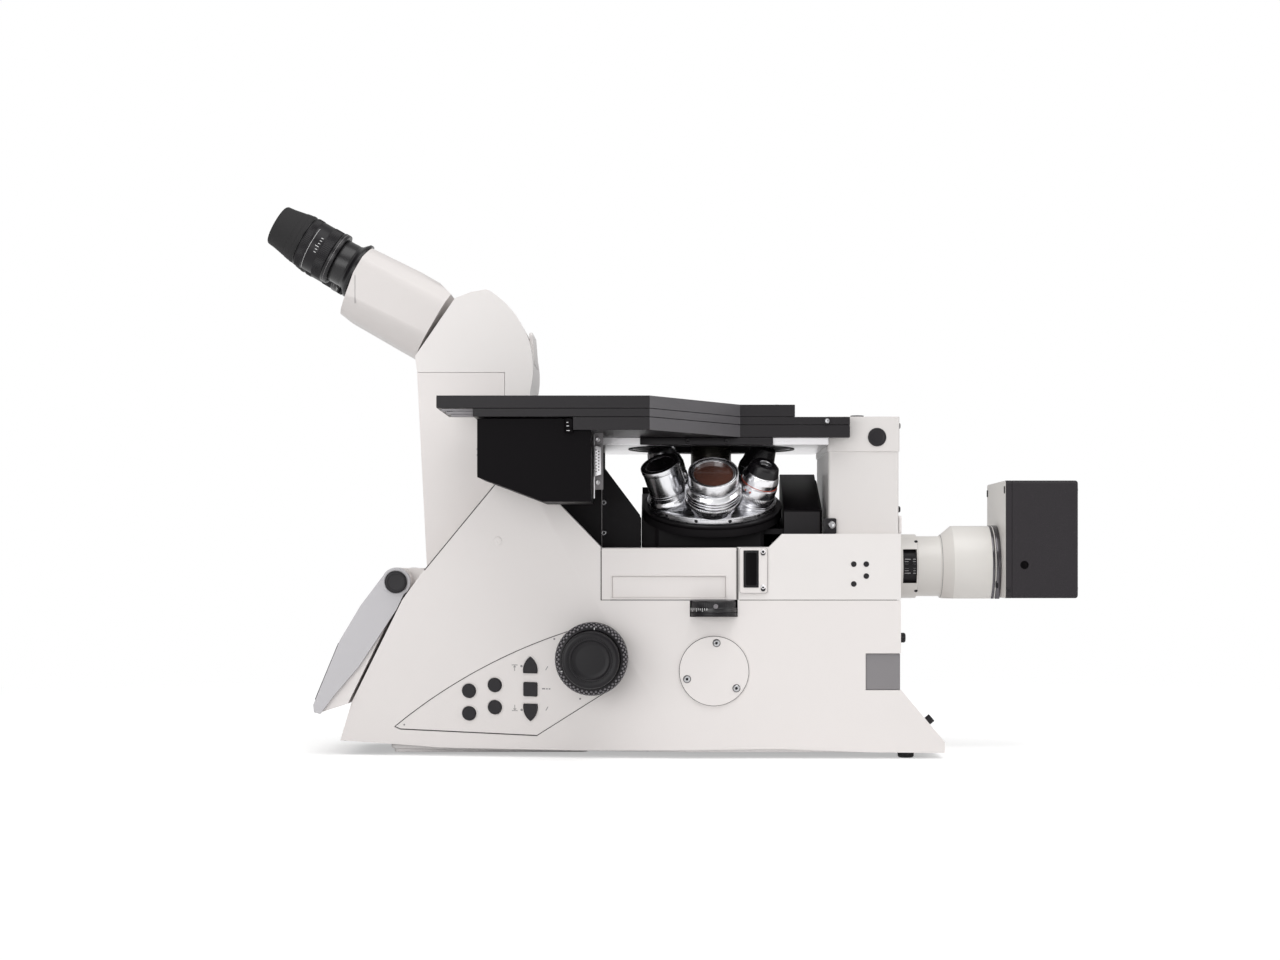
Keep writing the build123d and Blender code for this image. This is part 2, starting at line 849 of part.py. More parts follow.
def key_face(low_z, top_z, point, grow=0.0):
    """Outline of a key: square, or rounded to a tip at the top (1) or at the bottom (-1)."""
    low = on_taper(key_x, low_z, near_frame_face)
    top = on_taper(key_x, top_z, near_frame_face)
    across, up = top[0] - low[0], top[1] - low[1]
    height = (across**2 + up**2) ** 0.5 + 2 * grow
    half = key_width / 2 + grow
    turn = degrees(atan2(up, across)) - 90
    middle = Location(((low[0] + top[0]) / 2, (low[1] + top[1]) / 2, 0), (0, 0, turn))
    with BuildSketch() as face:
        with Locations(middle):
            if point == 0:
                RectangleRounded(2 * half, height, 1.0)
            else:
                with BuildSketch(mode=Mode.PRIVATE) as bullet:
                    with BuildLine():
                        foot, tip = -point * height / 2, point * height / 2
                        Line((-half, foot), (half, foot))
                        ThreePointArc((half, foot), (0.75 * half, 0.3 * tip), (0, tip))
                        ThreePointArc((0, tip), (-0.75 * half, 0.3 * tip), (-half, foot))
                    make_face()
                add(bullet.sketch)
    return near_frame_face * face.sketch


with BuildPart() as control_panel:
    extrude(panel_shape(0), amount=panel_thickness)
    for x, z in round_buttons.values():
        spot = on_taper(x, z, near_frame_face)
        disc(near_frame_face, button_radius + slip_gap, -1, 5, mode=Mode.SUBTRACT, at=spot)
    for low_z, top_z, point in keys.values():
        extrude(key_face(low_z, top_z, point, slip_gap), amount=5, mode=Mode.SUBTRACT)
    rod_y(focus_x, focus_z, knob_hole_radius, -far_out, 0, mode=Mode.SUBTRACT)
finish(control_panel.part, "control_panel")

for name, (x, z) in round_buttons.items():
    with BuildPart() as button:
        spot = on_taper(x, z, near_frame_face)
        disc(near_frame_face, button_radius, -button_depth, panel_thickness + button_proud, at=spot)
        fillet(button.faces().sort_by(Axis((0, 0, 0), near_frame_face.z_dir))[-1].edges(), 0.6)
        disc(near_frame_face, button_radius + 1.5, -button_depth, -slip_gap, at=spot)
    finish(button.part, name)

for name, (low_z, top_z, point) in keys.items():
    with BuildPart() as button:
        face = key_face(low_z, top_z, point)
        extrude(face, amount=panel_thickness + button_proud)
        extrude(face, amount=-button_depth)
        spot = on_taper(key_x, (low_z + top_z) / 2, near_frame_face)
        disc(near_frame_face, button_radius + 1.5, -button_depth, -slip_gap, at=spot)
    finish(button.part, name)

# Round port covers, the slot bezel, and the plugs and screws

port_cover_thickness = 2.0
port_cover_face = half_width + port_cover_thickness
bezel_depth = 1.6
bezel_face = half_width + bezel_depth
screw_head_radius = 1.9
screw_head_height = 0.8
web_screw_x = -54.6
web_screws_z = (180.5, 205.4)
centring_screws = ((145.4, 155.1), (155.4, 155.1), (155.4, 145.6), (145.4, 139.3))
bezel_screw_x = 73.2
bezel_screws_z = (135.3, 163.9)
level_x, level_y, level_radius = 152.6, -50.0, 5.3
rear_knob_y, rear_knob_z = half_width - 23.0, 95.9
rear_knob_radius, rear_knob_length = 3.6, 5.5
heel_knob_z = 28.0
heel_slope = (heel_x - rear_x) / (heel_break_z - heel_z)
heel_plane = Plane(
    origin=(rear_x + heel_slope * (heel_break_z - heel_knob_z), -rear_knob_y, heel_knob_z),
    x_dir=(0, 1, 0),
    z_dir=(1, 0, heel_slope),
)
port_screws = [
    (
        port_x + port_screw_circle * cos(radians(angle)),
        port_z + port_screw_circle * sin(radians(angle)),
    )
    for angle in port_screw_angles
]

with BuildPart() as access_covers:
    for side in (-1, 1):
        rod_y(port_x, port_z, port_radius, side * half_width, side * port_cover_face)
        rod_y(
            port_x,
            port_z,
            port_opening_radius - slip_gap,
            side * inner_half_width,
            side * half_width,
        )
    with BuildSketch(Plane.XZ.offset(half_width)) as bezel:
        with Locations(((bezel_left_x + bezel_right_x) / 2, (bezel_low_z + bay_edge_z) / 2)):
            RectangleRounded(bezel_right_x - bezel_left_x, bay_edge_z - bezel_low_z, 2.5)
    extrude(bezel.sketch, amount=bezel_depth)
    block(
        filter_left_x - cover_gap,
        filter_right_x + cover_gap,
        -far_out,
        0,
        filter_low_z - cover_gap,
        filter_top_z + cover_gap,
        mode=Mode.SUBTRACT,
    )
finish(access_covers.part, "access_covers")

with BuildPart() as plugs_and_screws:
    for x, z in port_screws:
        for side in (-1, 1):
            head_face = port_cover_face + screw_head_height
            rod_y(x, z, screw_head_radius, side * port_cover_face, side * head_face)
    for z in bezel_screws_z:
        rod_y(bezel_screw_x, z, screw_head_radius, -bezel_face - screw_head_height, -bezel_face)
    for z in web_screws_z:
        rod_y(web_screw_x, z, screw_head_radius, -web_y - screw_head_height, -web_y)
    for x, z in centring_screws:
        rod_y(x, z, screw_head_radius, -half_width - 0.4, -half_width)
    for side in (-1, 1):
        rod_y(
            column_plug_x,
            column_plug_z,
            column_plug_radius,
            side * (column_half_width + screw_head_height),
            side * (column_half_width - 3),
        )
    rod_z(level_x, level_y, level_radius, column_top_z, column_top_z + 1.6)
    # Washer under the reflector turret
    rod_z(
        reflector_x,
        reflector_y,
        reflector_pin_radius + 3,
        reflector_low_z - slip_gap - 2,
        reflector_low_z - slip_gap,
    )
    # Small knobs on the rear and on the heel
    rod_x(-rear_knob_y, rear_knob_z, rear_knob_radius, rear_x, rear_x + rear_knob_length)
    disc(heel_plane, rear_knob_radius, 0, rear_knob_length)
finish(plugs_and_screws.part, "plugs_and_screws")

# Interface panel in the rear corner, with three cable sockets

socket_rows_z = (60.2, 69.3, 78.4)
socket_half_height = 3.3
socket_half_width = 12.0
socket_depth = 8.0
with BuildPart() as rear_panel:
    block(
        panel_io_left_x + slip_gap,
        rear_x - 0.5,
        1.5 - half_width,
        io_depth - half_width,
        panel_io_low_z + slip_gap,
        panel_io_top_z - slip_gap,
    )
    for z in socket_rows_z:
        block(
            rear_x - socket_depth,
            rear_x,
            -rear_knob_y - socket_half_width,
            socket_half_width - rear_knob_y,
            z - socket_half_height,
            z + socket_half_height,
            mode=Mode.SUBTRACT,
        )
finish(rear_panel.part, "rear_panel")

# Lamp line

ring_groove = 3.5
ring_gap = 0.2
ring_outer = flange_radius - ring_groove - ring_gap
sleeve_outer = lamp_bore_radius + 1.5
grip_half_angle = radians(16)
grip_inner, grip_outer = ring_outer - 0.5, flange_radius - 0.3

with BuildPart() as lamp_flange:
    rod_x(0, lamp_z, flange_radius, rear_x, flange_right_x)
    rod_x(0, lamp_z, lamp_bore_radius, rear_x - 1, flange_right_x + 1, mode=Mode.SUBTRACT)
    rod_x(0, lamp_z, flange_radius - ring_groove, ring_left_x, ring_right_x, mode=Mode.SUBTRACT)
    block(
        ring_left_x,
        ring_right_x,
        -flange_radius - 1,
        0,
        ring_window_low_z,
        ring_window_top_z,
        mode=Mode.SUBTRACT,
    )
    rod_x(0, lamp_z, sleeve_outer, rear_x, flange_right_x)
    rod_x(0, lamp_z, lamp_bore_radius, rear_x - 1, flange_right_x + 1, mode=Mode.SUBTRACT)
finish(lamp_flange.part, "lamp_flange")


def grip_point(radius, side):
    """A corner of the ring's grip, above (1) or below (-1) the lamp axis."""
    return (-radius * cos(grip_half_angle), lamp_z + side * radius * sin(grip_half_angle))


with BuildPart() as aperture_ring:
    rod_x(0, lamp_z, ring_outer, ring_left_x + ring_gap, ring_right_x - ring_gap)
    rod_x(0, lamp_z, sleeve_outer + running_fit, ring_left_x, ring_right_x, mode=Mode.SUBTRACT)
    # Grip that comes out through the window
    with BuildSketch(Plane.YZ.offset(ring_left_x + ring_gap)) as thumb:
        with BuildLine():
            a, b = grip_point(grip_inner, 1), grip_point(grip_outer, 1)
            c, d = grip_point(grip_outer, -1), grip_point(grip_inner, -1)
            Line(a, b)
            ThreePointArc(b, (-grip_outer, lamp_z), c)
            Line(c, d)
            ThreePointArc(d, (-grip_inner, lamp_z), a)
        make_face()
    extrude(thumb.sketch, amount=ring_right_x - ring_left_x - 2 * ring_gap)
finish(aperture_ring.part, "aperture_ring")

with BuildPart() as lamp_tube:
    rod_x(0, lamp_z, tube_small_radius, flange_right_x, tube_cone_x)
    with BuildSketch(Plane.XZ) as cone:
        Polygon(
            (tube_cone_x, lamp_z),
            (tube_cone_x, lamp_z + tube_small_radius),
            (tube_large_x, lamp_z + tube_large_radius),
            (tube_end_x, lamp_z + tube_large_radius),
            (tube_end_x, lamp_z),
            align=None,
        )
    revolve(cone.sketch, axis=Axis((0, 0, lamp_z), (1, 0, 0)))
    rod_x(0, lamp_z, lamp_bore_radius, flange_right_x - 1, tube_end_x + 1, mode=Mode.SUBTRACT)
    rod_x(
        0,
        lamp_z,
        tube_large_radius - lamp_wall,
        tube_large_x + 4,
        tube_end_x + 1,
        mode=Mode.SUBTRACT,
    )
    block(tube_cone_x + 1, tube_end_x + 1, -60, 60, 0, tube_flat_z, mode=Mode.SUBTRACT)
finish(lamp_tube.part, "lamp_tube")

plate_right_x = tube_end_x + lamp_plate_thickness
with BuildPart() as lamp_front_plate:
    block(tube_end_x, plate_right_x, -lamp_half_width, lamp_half_width, lamp_low_z, lamp_top_z)
    fillet(lamp_front_plate.edges().filter_by(Axis.X), corner_radius)
    rod_x(0, lamp_z, lamp_bore_radius, tube_end_x - 1, plate_right_x + 1, mode=Mode.SUBTRACT)
finish(lamp_front_plate.part, "lamp_front_plate")

vent_count = 9
vent_pitch = 8.0
vent_half = 1.6
lamp_clamp_radius = 2.9
with BuildPart() as lamp_housing:
    block(plate_right_x, lamp_right_x, -lamp_half_width, lamp_half_width, lamp_low_z, lamp_top_z)
    fillet(lamp_housing.edges().filter_by(Axis.X), corner_radius)
    fillet(lamp_housing.faces().sort_by(Axis.X)[-1].edges(), 2.0)
    block(
        plate_right_x - 1,
        lamp_right_x - lamp_wall,
        lamp_wall - lamp_half_width,
        lamp_half_width - lamp_wall,
        lamp_low_z + lamp_wall,
        lamp_top_z - lamp_wall,
        mode=Mode.SUBTRACT,
    )
    for place in range(vent_count):
        y = (place - (vent_count - 1) / 2) * vent_pitch
        block(
            plate_right_x + 10,
            lamp_right_x - 8,
            y - vent_half,
            y + vent_half,
            lamp_top_z - lamp_wall - 1,
            lamp_top_z + 1,
            mode=Mode.SUBTRACT,
        )
    rod_y(
        plate_right_x + 10,
        lamp_z + 1,
        lamp_clamp_radius,
        -lamp_half_width - 1,
        lamp_wall - lamp_half_width + 1,
        mode=Mode.SUBTRACT,
    )
finish(lamp_housing.part, "lamp_housing")

lamp_base_x = lamp_right_x - lamp_wall - 22.0
lamp_base_radius, bulb_radius = 15.0, 6.0
with BuildPart() as lamp_bulb:
    rod_x(0, lamp_z, lamp_base_radius, lamp_base_x, lamp_right_x - lamp_wall)
    rod_x(0, lamp_z, bulb_radius, plate_right_x + 4, lamp_base_x)
    fillet(lamp_bulb.faces().sort_by(Axis.X)[0].edges(), 4.0)
finish(lamp_bulb.part, "lamp_bulb")

with BuildPart() as relay_lenses:
    for x in (rear_x + 3, flange_right_x + 6):
        rod_x(0, lamp_z, lamp_bore_radius - lens_fit, x, x + 5)
finish(relay_lenses.part, "relay_lenses")

# Stage carrier, base plate, middle plate, top plate and insert

middle_window_x, middle_window_y = 60.0, 36.0


def stage_outline(left, body_left, right, near, far, notch_y, column_side):
    """Plan of a stage plate: a wing past the neck, a slanted near edge, a tongue past the column."""
    points = [
        (body_left, wing_inner_y),
        (left, wing_inner_y),
        (left, near),
        (stage_corner_x, near),
        (stage_notch_x, notch_y),
    ]
    if column_side > right:
        tongue_y = -column_half_width - 4
        points += [(column_side, notch_y), (column_side, tongue_y), (right, tongue_y)]
    else:
        points += [(right, notch_y)]
    points += [(right, far), (body_left, far)]
    return points


with BuildPart() as stage_carrier:
    block(
        head_back_x + 3,
        column_left_x,
        -carrier_half_width,
        carrier_half_width,
        carrier_bottom_z,
        carrier_top_z,
    )
    rod_z(optic_x, light_opening_y, light_opening_radius, 0, far_out, mode=Mode.SUBTRACT)
finish(stage_carrier.part, "stage_carrier")

with BuildPart() as stage_base:
    plate(
        stage_outline(
            base_plate_left_x,
            base_plate_left_x,
            stage_right_x,
            stage_near_y,
            stage_base_far_y,
            stage_notch_y,
            middle_right_x,
        ),
        carrier_top_z,
        stage_base_top_z,
    )
    rod_z(optic_x, light_opening_y, light_opening_radius, 0, far_out, mode=Mode.SUBTRACT)
finish(stage_base.part, "stage_base")

with BuildPart() as stage_mid_plate:
    plate(
        stage_outline(
            middle_left_x,
            stage_body_left_x,
            stage_right_x,
            stage_near_y,
            stage_middle_far_y,
            stage_notch_y,
            middle_right_x,
        ),
        stage_base_top_z + plate_gap,
        middle_top_z,
    )
    block(
        optic_x - middle_window_x,
        optic_x + middle_window_x,
        -middle_window_y,
        middle_window_y,
        0,
        far_out,
        mode=Mode.SUBTRACT,
    )
finish(stage_mid_plate.part, "stage_mid_plate")

top_low_z = middle_top_z + plate_gap
with BuildPart() as stage_top_plate:
    plate(
        stage_outline(
            stage_left_x,
            stage_body_left_x,
            stage_right_x,
            stage_near_y,
            stage_far_y,
            stage_notch_y,
            0,
        ),
        top_low_z,
        stage_top_z,
    )
    rod_z(optic_x, 0, insert_radius + slip_gap, stage_top_z - insert_thickness, far_out, mode=Mode.SUBTRACT)
    rod_z(optic_x, 0, insert_radius - insert_ledge, 0, far_out, mode=Mode.SUBTRACT)
    with Locations((optic_x, 0, stage_top_z)):
        with GridLocations(clip_hole_spacing_x, clip_hole_spacing_y, 2, 2):
            Hole(clip_hole_radius, depth=8)
finish(stage_top_plate.part, "stage_top_plate")

with BuildPart() as stage_insert:
    rod_z(optic_x, 0, insert_radius, stage_top_z - insert_thickness, stage_top_z)
    rod_z(optic_x, 0, specimen_radius, 0, far_out, mode=Mode.SUBTRACT)
finish(stage_insert.part, "stage_insert")

with BuildPart() as stage_drive_box:
    slab(
        [
            (drive_left_x, drive_top_z),
            (drive_left_x, drive_cheek_z),
            (drive_chin_x, drive_bottom_z),
            (drive_right_x, drive_bottom_z),
            (drive_right_x, carrier_top_z),
            (base_plate_left_x, carrier_top_z),
            (base_plate_left_x, drive_top_z),
        ],
        drive_near_y,
        drive_far_y,
    )
    slab(
        [
            (drive_left_x + drive_wall, drive_top_z - drive_wall),
            (drive_left_x + drive_wall, drive_cheek_z + 3),
            (drive_chin_x + 1, drive_bottom_z + drive_wall),
            (drive_right_x - drive_wall, drive_bottom_z + drive_wall),
            (drive_right_x - drive_wall, carrier_top_z - drive_wall),
            (base_plate_left_x - drive_wall, carrier_top_z - drive_wall),
            (base_plate_left_x - drive_wall, drive_top_z - drive_wall),
        ],
        drive_near_y + drive_wall,
        drive_far_y - drive_wall,
        mode=Mode.SUBTRACT,
    )
finish(stage_drive_box.part, "stage_drive_box")

connector_y = -150.0
connector_low_z, connector_top_z = 213.0, 257.0
connector_right_x = -53.0
connector_x = (drive_right_x + connector_right_x) / 2
with BuildPart() as stage_connector:
    block(
        drive_right_x,
        connector_right_x,
        connector_y,
        connector_y + 4,
        connector_low_z,
        connector_top_z,
    )
    block(
        connector_x - 3,
        connector_x + 3,
        connector_y - 4,
        connector_y,
        connector_low_z + 11,
        connector_top_z - 10,
    )
    block(
        connector_x - 2,
        connector_x + 2,
        connector_y - 5,
        connector_y - 2,
        connector_low_z + 13,
        connector_top_z - 12,
        mode=Mode.SUBTRACT,
    )
finish(stage_connector.part, "stage_connector")

# Nosepiece: carriage, turret motor housing, turret disc and objectives

tilt = radians(turret_tilt)
turret_axis = Vector(0, -sin(tilt), cos(tilt))
turret_across = Vector(0, cos(tilt), sin(tilt))
turret_centre = Vector(optic_x, -turret_seat_radius * cos(tilt), turret_centre_z)
turret_plane = Plane(origin=turret_centre, x_dir=(1, 0, 0), z_dir=turret_axis)
disc_gap = 0.3
head_top_h = -turret_disc_thickness - disc_gap
head_low_h = head_top_h - head_rim_thickness


def seat_plane(place):
    """The plane on which the objective at this place stands, facing along the objective."""
    angle = 2 * pi * place / turret_places
    outward = turret_across * cos(angle) + Vector(1, 0, 0) * sin(angle)
    origin = turret_centre + outward * turret_seat_radius
    return Plane(origin=origin, z_dir=turret_axis * cos(tilt) + outward * sin(tilt))


hub_depth = 12.0
hub_low_h = 1 - turret_disc_thickness - hub_depth
boss_radius = 15.5
boss_height = 6.6
with BuildPart() as nosepiece_carriage:
    block(
        carriage_left_x,
        carriage_right_x,
        carriage_nose_y,
        carriage_far_y,
        carriage_bottom_z,
        carriage_top_z,
    )
    block(
        carriage_nose_x,
        carriage_right_x,
        carriage_near_y,
        carriage_nose_y,
        carriage_bottom_z,
        carriage_top_z,
    )
    split(bisect_by=turret_plane.offset(head_low_h + 1), keep=Keep.BOTTOM)
    chamfer(nosepiece_carriage.edges().filter_by(Axis.Z).group_by(Axis.Y)[0], corner_radius)
    disc(turret_plane, head_rim_radius, head_low_h, head_top_h)
    # Bores for hub, light and lead screw
    disc(turret_plane, turret_hub_radius + running_fit, hub_low_h - 1, 5, mode=Mode.SUBTRACT)
    rod_z(optic_x, 0, seat_bore_radius + 2, 0, far_out, mode=Mode.SUBTRACT)
    rod_z(
        optic_x,
        lead_screw_y,
        lead_screw_radius + running_fit,
        carriage_bottom_z - 1,
        lead_screw_top_z + 12,
        mode=Mode.SUBTRACT,
    )
    block(
        carriage_right_x,
        motor_left_x,
        motor_near_y + 4,
        motor_far_y - 4,
        motor_low_z,
        motor_low_z + 4.6,
    )
finish(nosepiece_carriage.part, "nosepiece_carriage")

with BuildPart() as turret_motor:
    block(
        motor_left_x,
        motor_right_x,
        motor_near_y,
        motor_far_y,
        motor_low_z,
        carrier_bottom_z,
    )
    split(bisect_by=turret_plane.offset(-motor_drop), keep=Keep.BOTTOM)
    chamfer(turret_motor.edges().filter_by(Axis.Z).group_by(Axis.X)[-1], 2.0)
finish(turret_motor.part, "turret_motor")

with BuildPart() as turret:
    for place in range(turret_places):
        disc(seat_plane(place), boss_radius, -boss_height, boss_height)
    split(bisect_by=turret_plane.offset(-turret_disc_thickness), keep=Keep.TOP)
    disc(turret_plane, turret_disc_radius, -turret_disc_thickness, 0)
    disc(turret_plane, turret_hub_radius, hub_low_h, 0)
    for place in range(turret_places):
        disc(seat_plane(place), seat_bore_radius, hub_low_h, boss_height + 1, mode=Mode.SUBTRACT)
finish(turret.part, "turret")

# Each objective: (radius, height) steps from its shoulder up to its tip, and the bore at the tip
objective_shapes = [
    ([(16.5, boss_height), (16.5, 33), (17.8, 33), (17.8, 38.5), (15.0, 40)], 8.0),
    ([(14.5, boss_height), (14.5, 22), (13.0, 26), (11.0, 38), (9.0, 40)], 5.0),
    ([(15.5, boss_height), (15.5, 22), (14.9, 22), (14.9, 27), (11.5, 38), (9.0, 40)], 5.0),
    ([(18.2, boss_height), (18.2, 12), (22.7, 15), (22.7, 27), (19.0, 32), (19.0, 40)], 16.0),
    ([(17.8, boss_height), (17.8, 9), (15.8, 12), (15.8, 40)], 11.0),
    ([(15.0, boss_height), (15.0, 24), (12.0, 36), (9.5, 40)], 6.0),
]
thread_low = 1.2
stop_height = 32.0
lens_thickness = 3.0
lens_recess = 2.5

with BuildPart() as objective_barrels:
    for place, (steps, tip_bore) in enumerate(objective_shapes):
        seat = seat_plane(place)
        with BuildSketch() as half_section:
            Polygon((0, boss_height), *steps, (0, objective_length), align=None)
        barrel = revolve(half_section.sketch, axis=Axis.Y, mode=Mode.PRIVATE)
        upright = Location(seat) * Location((0, 0, 0), (90, 0, 0))
        add(upright * barrel)
        disc(seat, seat_bore_radius - running_fit, thread_low, boss_height)
        disc(seat, min(tip_bore, objective_bore_radius), 0, stop_height, mode=Mode.SUBTRACT)
        disc(seat, tip_bore, stop_height, objective_length + 1, mode=Mode.SUBTRACT)
finish(objective_barrels.part, "objective_barrels")

with BuildPart() as objective_lenses:
    for place, (steps, tip_bore) in enumerate(objective_shapes):
        top_h = objective_length - lens_recess
        disc(seat_plane(place), tip_bore - lens_fit, top_h - lens_thickness, top_h)
finish(objective_lenses.part, "objective_lenses")

# Focus drive

half_motor = focus_motor_size / 2
screw_shaft_radius = 4.0
with BuildPart() as focus_motor:
    block(
        optic_x - half_motor,
        optic_x + half_motor,
        lead_screw_y - half_motor,
        lead_screw_y + half_motor,
        roof_z - focus_motor_height,
        roof_z,
    )
    chamfer(focus_motor.edges().filter_by(Axis.Z), corner_radius)
    rod_z(
        optic_x,
        lead_screw_y,
        screw_shaft_radius + running_fit,
        roof_z - 20,
        roof_z + 1,
        mode=Mode.SUBTRACT,
    )
finish(focus_motor.part, "focus_motor")

with BuildPart() as lead_screw:
    rod_z(optic_x, lead_screw_y, screw_shaft_radius, roof_z - 19, roof_z + slip_gap)
    rod_z(optic_x, lead_screw_y, lead_screw_radius, roof_z + slip_gap, lead_screw_top_z)
finish(lead_screw.part, "lead_screw")

with BuildPart() as coarse_focus:
    rod_y(focus_x, focus_z, coarse_shaft_radius, -coarse_inner_y, coarse_inner_y)
    for side in (-1, 1):
        rod_y(focus_x, focus_z, coarse_radius, side * coarse_inner_y, side * coarse_outer_y)
    fillet(coarse_focus.edges().filter_by(GeomType.CIRCLE).group_by(Axis.Y)[0], 2.0)
    fillet(coarse_focus.edges().filter_by(GeomType.CIRCLE).group_by(Axis.Y)[-1], 2.0)
    rod_y(focus_x, focus_z, fine_shaft_radius + running_fit, -far_out, far_out, mode=Mode.SUBTRACT)
finish(coarse_focus.part, "coarse_focus")

with BuildPart() as fine_focus:
    rod_y(focus_x, focus_z, fine_shaft_radius, -coarse_outer_y - 1, coarse_outer_y + 1)
    for side in (-1, 1):
        rod_y(focus_x, focus_z, fine_radius, side * (coarse_outer_y + slip_gap), side * fine_outer_y)
        rod_y(
            focus_x,
            focus_z,
            fine_face_radius,
            side * (fine_outer_y - 1.2),
            side * (fine_outer_y + 1),
            mode=Mode.SUBTRACT,
        )
finish(fine_focus.part, "fine_focus")

# Reflector door and turret, analyser, filter slider

with BuildPart() as reflector_door:
    block(
        bay_left_x + door_gap,
        band_left_x - door_gap,
        -half_width,
        door_thickness - half_width,
        cover_top_z + door_gap,
        bay_edge_z - door_gap,
    )
    # Round upper edge, on the hinge axis
    fillet(reflector_door.edges().filter_by(Axis.X).group_by(Axis.Z)[-1], door_thickness / 2 - 0.01)
    block(
        grip_left_x,
        grip_right_x,
        -half_width - 1,
        grip_depth - half_width,
        grip_low_z,
        grip_top_z,
        mode=Mode.SUBTRACT,
    )
finish(reflector_door.part, "reflector_door")

cube_count = 6
with BuildPart() as reflector_turret:
    rod_z(reflector_x, reflector_y, reflector_radius, reflector_low_z, reflector_top_z)
    beam = Vector(optic_x - reflector_x, -reflector_y, 0)
    for place in range(cube_count):
        spot = Vector(reflector_x, reflector_y, 0) + beam.rotate(Axis.Z, 360 * place / cube_count)
        rod_z(
            spot.X,
            spot.Y,
            reflector_bore_radius,
            reflector_low_z - 1,
            reflector_top_z + 1,
            mode=Mode.SUBTRACT,
        )
    rod_z(
        reflector_x,
        reflector_y,
        reflector_pin_radius + running_fit,
        reflector_low_z - 1,
        reflector_top_z + 1,
        mode=Mode.SUBTRACT,
    )
finish(reflector_turret.part, "reflector_turret")

slider_top_z = wheel_low_z - slip_gap
with BuildPart() as analyser_slider:
    block(
        optic_x - slider_half_width,
        optic_x + slider_half_width,
        wheel_y - 10,
        slider_back_y,
        slider_plate_z,
        slider_top_z,
    )
    rod_z(optic_x, wheel_y, wheel_axle_radius, slider_top_z, wheel_top_z - 0.6)
    rod_z(optic_x, analyser_hole_y, analyser_hole_radius, 0, far_out, mode=Mode.SUBTRACT)
finish(analyser_slider.part, "analyser_slider")

with BuildPart() as analyser_wheel:
    rod_z(optic_x, wheel_y, wheel_radius, wheel_low_z, wheel_top_z)
    chamfer(analyser_wheel.edges(), 0.8)
    rod_z(optic_x, wheel_y, wheel_axle_radius + running_fit, 0, far_out, mode=Mode.SUBTRACT)
finish(analyser_wheel.part, "analyser_wheel")

filter_face_y = -half_width - 2.4
with BuildPart() as filter_slider:
    block(
        filter_left_x,
        filter_right_x,
        filter_face_y,
        -half_width + 6,
        filter_low_z,
        filter_top_z,
    )
    block(
        filter_left_x + 2,
        filter_right_x - 2,
        -half_width + 6,
        filter_back_y,
        filter_low_z + 1,
        roof_z - 1,
    )
finish(filter_slider.part, "filter_slider")

# Display unit on its arm

arm_back_x = -202.0
arm_low_z, arm_top_z = 129.4, display_pivot_z + display_head_radius - 0.4
with BuildPart() as display_arm:
    rod_y(
        display_pivot_x,
        display_pivot_z,
        display_head_radius - 0.4,
        -display_arm_half_width,
        display_arm_half_width,
    )
    slab(
        [
            (display_pivot_x, arm_low_z),
            (display_pivot_x, arm_top_z),
            (arm_back_x, arm_top_z),
            (arm_back_x, arm_low_z),
        ],
        -display_arm_half_width,
        display_arm_half_width,
    )
    add(outer_layer, mode=Mode.SUBTRACT)
    slab(neck_outline, -neck_half_width, neck_half_width, mode=Mode.SUBTRACT)
    rod_y(display_pivot_x, display_pivot_z, display_bore, -far_out, far_out, mode=Mode.SUBTRACT)
finish(display_arm.part, "display_arm")

display_side_y = display_half_width - display_plate
cap_inner_y = display_half_width + 0.2
cap_thickness = 1.4
with BuildPart() as display_pivot:
    rod_y(display_pivot_x, display_pivot_z, display_pin_radius, -cap_inner_y, cap_inner_y)
    for side in (-1, 1):
        rod_y(
            display_pivot_x,
            display_pivot_z,
            display_cap_radius,
            side * cap_inner_y,
            side * (cap_inner_y + cap_thickness),
        )
finish(display_pivot.part, "display_pivot")

display_front = [
    (-232.6, 146.0),
    (-251.2, 121.4),
    (-267.6, 93.8),
    (-289.3, 41.2),
    (-288.6, 35.2),
    (-283.6, 33.9),
]
display_side_outline = display_front + [
    (-272.2, 49.1),
    (-252.7, 71.8),
    (-236.0, 96.7),
    (-221.6, 118.9),
    (-214.0, 135.0),
]
display_shell_outline = [
    (-234.6, 142.0),
    (-250.4, 119.6),
    (-267.0, 93.4),
    (-288.4, 41.4),
    (-287.6, 36.0),
    (-283.6, 35.0),
    (-262.0, 42.0),
    (-219.5, 128.0),
]
arm_clear_radius = display_head_radius + 0.8

with BuildPart() as display_side_plates:
    for side in (-1, 1):
        y0, y1 = side * display_half_width, side * display_side_y
        slab(display_side_outline, y0, y1)
        rod_y(display_pivot_x, display_pivot_z, display_head_radius, y0, y1)
    rod_y(display_pivot_x, display_pivot_z, display_bore, -far_out, far_out, mode=Mode.SUBTRACT)
finish(display_side_plates.part, "display_side_plates")

shell_wall = 4.0
with BuildPart() as display_housing:
    slab(display_shell_outline, -display_side_y, display_side_y)
    rod_y(display_pivot_x, display_pivot_z, display_head_radius, -display_side_y, display_side_y)
    rod_y(
        display_pivot_x,
        display_pivot_z,
        arm_clear_radius,
        -display_arm_half_width - 1,
        display_arm_half_width + 1,
        mode=Mode.SUBTRACT,
    )
    slab(
        [
            (-238.0, 128.0),
            (-263.5, 92.0),
            (-283.0, 44.0),
            (-264.5, 47.0),
            (-227.0, 121.0),
        ],
        shell_wall - display_side_y,
        display_side_y - shell_wall,
        mode=Mode.SUBTRACT,
    )
    rod_y(display_pivot_x, display_pivot_z, display_bore, -far_out, far_out, mode=Mode.SUBTRACT)
finish(display_housing.part, "display_housing")

